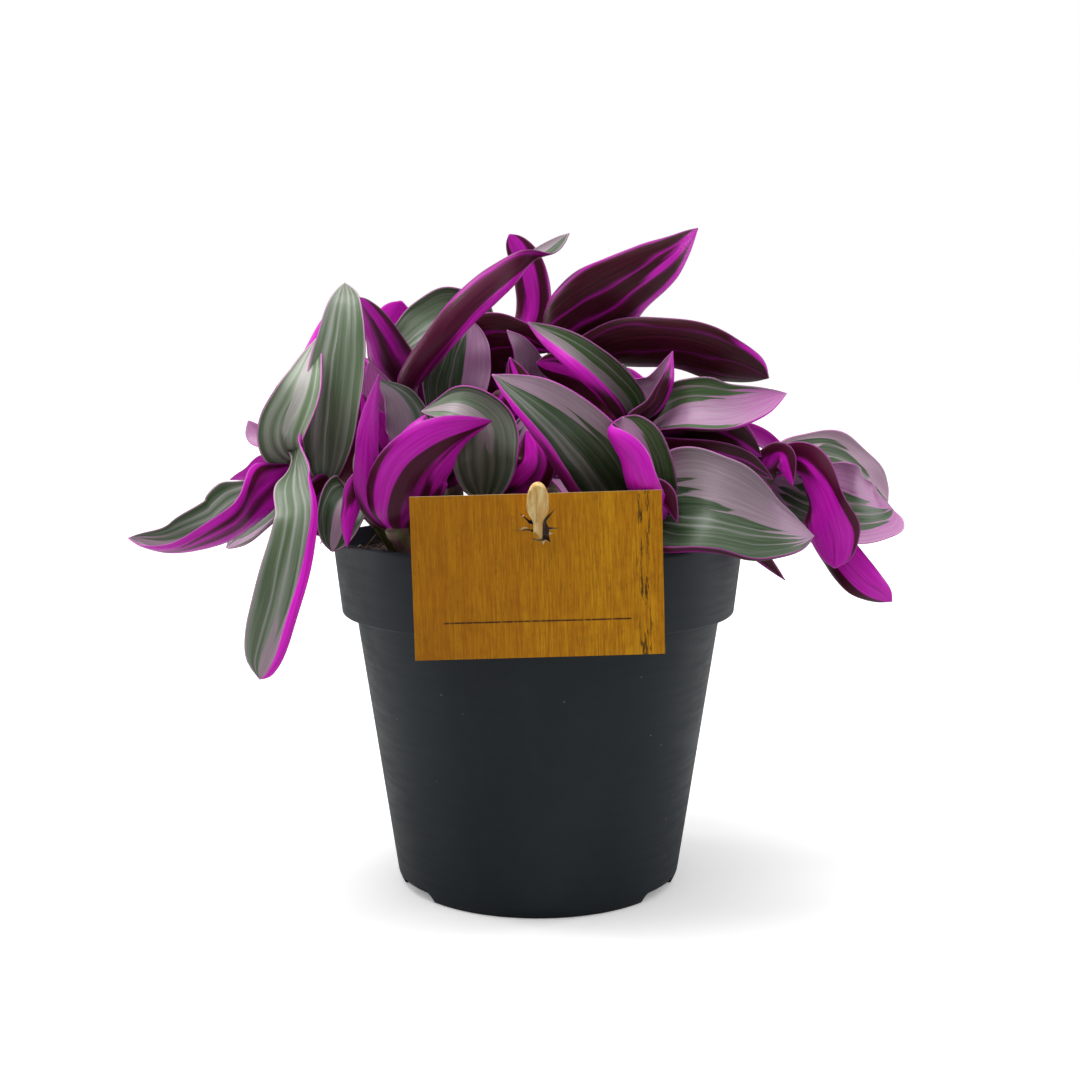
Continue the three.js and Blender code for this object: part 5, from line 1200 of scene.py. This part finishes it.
FLAPS = [  # lifted bits of card: two roots on the hole's edge and a tip
    ((-1.6, 11.8), (-1.8, 13.4), (0.6, 12.7)), ((-1.2, 9.5), (-1.6, 11.6), (0.7, 10.2)),
    ((-0.6, 8.9), (-1.3, 9.6), (-2.1, 7.4)), ((2.2, 9.1), (1.2, 8.8), (1.7, 8.0)),
    ((3.1, 10.3), (3.2, 11.3), (4.1, 10.8)), ((-4.6, 11.7), (-1.8, 12.3), (-3.2, 12.8)),
]
FLAP_LIFT, FLAP_THICK = 1.0, 0.3
CARD_COLUMNS, CARD_ROWS = 64, 42
card_place = (Matrix.Translation((0, CARD_Y * MM, CARD_Z * MM))
              @ Matrix.Rotation(-math.radians(CARD_TILT), 4, "Y"))


def card_sheet():
    """The card's flat face with its torn hole, cut into a fine grid so that it can bow."""
    wide, high = CARD_WIDE / 2, CARD_HIGH / 2
    hole = [Vector(p) for p in TEAR]
    places = [Vector((x, z)) for x in np.linspace(-wide, wide, CARD_COLUMNS + 1)
              for z in np.linspace(-high, high, CARD_ROWS + 1)]
    places = [p for p in places if min((p - q).length for q in hole) > 0.3]
    start = len(places)
    ring = [(start + k, start + (k + 1) % len(hole)) for k in range(len(hole))]
    points, _, faces, *_ = delaunay_2d_cdt(places + hole, ring, [], 0, 1e-6)
    return points, faces


def in_tear(x, z):
    """Whether a place lies inside the torn hole."""
    inside = False
    for (ax, az), (bx, bz) in zip(TEAR, TEAR[1:] + TEAR[:1]):
        if (az > z) != (bz > z) and x < (bx - ax) * (z - az) / (bz - az) + ax:
            inside = not inside
    return inside


points, faces = card_sheet()
faces = [f for f in faces if not in_tear(sum(points[k].x for k in f) / 3, sum(points[k].y for k in f) / 3)]
shape = bmesh.new()
corners = {}
for face in faces:
    for k in face:
        if k not in corners:
            x, z = points[k]
            bow = CARD_BOW * (math.cos(math.pi * x / CARD_WIDE) + 0.25 * math.sin(x / 9 + z / 13) - 1)
            corners[k] = shape.verts.new((x * MM, (-CARD_THICK / 2 - bow) * MM, z * MM))
    shape.faces.new([corners[k] for k in face])
bmesh.ops.recalc_face_normals(shape, faces=shape.faces)
for face in shape.faces:
    if face.normal.y > 0:
        face.normal_flip()
front = list(shape.faces)
back = bmesh.ops.duplicate(shape, geom=shape.verts[:] + shape.edges[:] + front)
back_faces = [g for g in back["geom"] if isinstance(g, bmesh.types.BMFace)]
twin = back["vert_map"]
for vertex in [g for g in back["geom"] if isinstance(g, bmesh.types.BMVert)]:
    vertex.co.y += CARD_THICK * MM
bmesh.ops.reverse_faces(shape, faces=back_faces)
for edge in [e for e in shape.edges if e.is_boundary and e.link_faces[0] in set(front)]:
    a, b = edge.verts
    shape.faces.new((b, a, twin[a], twin[b]))
for root_a, root_b, tip in FLAPS:
    a, b = ((x * MM, -0.5 * CARD_THICK * MM, z * MM) for x, z in (root_a, root_b))
    c = (tip[0] * MM, (-CARD_THICK / 2 - FLAP_LIFT) * MM, tip[1] * MM)
    low = [shape.verts.new(p) for p in (a, b, c)]
    high = [shape.verts.new((p[0], p[1] + FLAP_THICK * MM, p[2])) for p in (a, b, c)]
    made = [shape.faces.new(low), shape.faces.new(high[::-1])]
    made += [shape.faces.new((low[k], high[k], high[(k + 1) % 3], low[(k + 1) % 3])) for k in range(3)]
    bmesh.ops.recalc_face_normals(shape, faces=made)
bmesh.ops.transform(shape, matrix=card_place, verts=shape.verts)
card = placed("name_card", shape)
smooth(card, 40)

card_wood, tree, shader = new_material("card_wood", **{"Specular IOR Level": 0.22})
upright = mapped(tree, add_node(tree, "ShaderNodeTexCoord").outputs["Object"],
                 Location=(0, 0, -CARD_Z * MM))
upright = mapped(tree, upright, Rotation=(0, math.radians(CARD_TILT), 0))
flat = mapped(tree, upright, Scale=(1 / MM, 1 / MM, 1 / MM))
long = mapped(tree, upright, Scale=(1 / MM, 1 / MM, 0.05 / MM))
across, _, height = axes(tree, flat)

# Its grain, in broad and fine bands with dark pores, darker toward the left edge.
wood = use_group(tree, wood_group, {"Place": long, "Fine": 4.2})
broad = use_group(tree, wood_group, {"Place": long, "Fine": 0.7})
tint = mixed(tree, fade(tree, broad["Bands"], 0.36, 0.64), colour(212, 143, 4), colour(230, 165, 12))
tint = mixed(tree, fade(tree, wood["Bands"], 0.3, 0.7, 0.0, 0.75), tint, colour(168, 100, 2))
tint = mixed(tree, times(tree, wood["Pores"], 0.4), tint, colour(96, 54, 6))
tint = mixed(tree, fade(tree, noise(tree, flat, 0.35, 4), 0.45, 0.75, 0, 0.3), tint, colour(150, 88, 2))
tint = mixed(tree, fade(tree, noise(tree, flat, 0.05, 3), 0.5, 0.8, 0, 0.25), tint, colour(140, 80, 4))
tint = mixed(tree, fade(tree, across, -32.0, 26.0, 0.5, 0.0), tint, colour(156, 90, 2))

# Dark cracks along the grain, nearly all in one band by the right edge.
in_band = times(tree, fade(tree, across, *CRACKED[:2]), fade(tree, across, CRACKED[3], CRACKED[2]))
drawn_out = add_node(tree, "ShaderNodeCombineXYZ", {
    0: times(tree, across, 0.9), 2: times(tree, height, 0.12)}).outputs[0]
cleft = calc(tree, "MULTIPLY_ADD", in_band, 0.08, noise(tree, drawn_out, 1.0, 3, 0.75))
crack = times(tree, fade(tree, cleft, 0.6, 0.68), calc(tree, "MAXIMUM", in_band, 0.25))
tint = mixed(tree, times(tree, crack, 0.85), tint, colour(48, 28, 12))

# The ruled line, worn in places, and the paler pulp of the card's cut edges and its back.
rule = calc(tree, "ABSOLUTE", calc(tree, "SUBTRACT", height, RULE_Z))
ruled = times(tree, calc(tree, "GREATER_THAN", across, RULE_FROM), calc(tree, "LESS_THAN", across, RULE_TO))
rule = times(tree, fade(tree, rule, 0.16, 0.28, 1, 0), ruled)
rule = times(tree, rule, fade(tree, noise(tree, flat, 1.2, 3), 0.3, 0.5, 0.35, 0.9))
tint = mixed(tree, rule, tint, colour(52, 30, 14))
facing = axes(tree, add_node(tree, "ShaderNodeNewGeometry").outputs["Normal"])
on_face = calc(tree, "LESS_THAN", facing[1], -0.7)
pulp = mixed(tree, noise(tree, flat, 1.5), colour(204, 176, 122), colour(226, 206, 160))
dress(tree, shader, mixed(tree, on_face, pulp, tint), fade(tree, wood["Bands"], 0.3, 0.7, 0.5, 0.66),
      bump(tree, crack, -0.15, 0.8, bump(tree, wood["Bands"], 0.06, 0.8)))
card.data.materials.append(card_wood)
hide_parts("card")
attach(card, "root")


# ---- Studio ------------------------------------------------------------------------------
# A plain white floor and background, soft light from above and both sides, and the camera at
# the photograph's angle, a little above the plant.
FLOOR_HALF = 40.0
CAMERA_AT = (0.00056, -0.432, 0.147)
CAMERA_DOWN = 6.13
CAMERA_LENS, CAMERA_FRAME = 49.0, 36.0

bpy.context.scene.view_settings.view_transform = "Standard"
shape = bmesh.new()
bmesh.ops.create_grid(shape, x_segments=2, y_segments=2, size=FLOOR_HALF)
floor = placed("floor", shape)
paper, tree, shader = new_material("paper", Roughness=0.9, **{"Specular IOR Level": 0.2})
seen = add_node(tree, "ShaderNodeLightPath").outputs["Is Camera Ray"]
bright = mixed(tree, noise(tree, object_place(tree), 0.02), colour(250, 250, 250), colour(253, 253, 253))
tree.links.new(mixed(tree, seen, colour(185, 185, 185), bright), shader.inputs["Base Color"])
far = add_node(tree, "ShaderNodeVectorMath", {0: add_node(tree, "ShaderNodeTexCoord").outputs["Object"]},
               operation="LENGTH").outputs["Value"]
shader.inputs["Emission Color"].default_value = (1, 1, 1, 1)
lift = times(tree, seen, fade(tree, far, 0.1, 1.0, 0.22, 0.4))
tree.links.new(lift, shader.inputs["Emission Strength"])
floor.data.materials.append(paper)
floor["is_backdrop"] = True


def soft_light(name, place, aim, width, height, power):
    """A large rectangular lamp at a place, turned toward its aim."""
    lamp = bpy.data.lights.new(name, "AREA")
    lamp.shape, lamp.size, lamp.size_y, lamp.energy = "RECTANGLE", width, height, power
    holder = in_scene(name, lamp)
    holder.location = place
    holder.rotation_euler = (Vector(aim) - Vector(place)).to_track_quat("-Z", "Y").to_euler()


PLANT = (0, 0, 0.11)
soft_light("key", (-0.25, -0.08, 0.95), PLANT, 0.5, 0.5, 4.2)
soft_light("left_edge", (-0.9, 0.3, 0.3), PLANT, 0.25, 0.9, 3)
soft_light("right_edge", (0.9, 0.3, 0.3), PLANT, 0.25, 0.9, 3)

# The room: bright overhead, dim all round, and plain white where the camera sees it.
world = bpy.data.worlds.new("white_room")
world.use_nodes = True
tree = world.node_tree
tree.nodes.clear()
way = axes(tree, add_node(tree, "ShaderNodeTexCoord").outputs["Generated"])
overhead = calc(tree, "MAXIMUM", way[2], 0.0)
glow = calc(tree, "MULTIPLY_ADD", times(tree, overhead, overhead), 1.6, 0.1)
seen = add_node(tree, "ShaderNodeLightPath").outputs["Is Camera Ray"]
glow = calc(tree, "MAXIMUM", glow, seen)
room = add_node(tree, "ShaderNodeBackground", {"Color": (1, 1, 1, 1), "Strength": glow})
tree.links.new(room.outputs[0], add_node(tree, "ShaderNodeOutputWorld").inputs[0])
bpy.context.scene.world = world

camera = in_scene("camera", bpy.data.cameras.new("camera"))
camera.location = CAMERA_AT
camera.rotation_euler = (math.radians(90 - CAMERA_DOWN), 0, 0)
camera.data.lens, camera.data.sensor_width, camera.data.clip_start = CAMERA_LENS, CAMERA_FRAME, 0.01
bpy.context.scene.camera = camera

dressed_box = [list(map(float, corner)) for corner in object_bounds()]
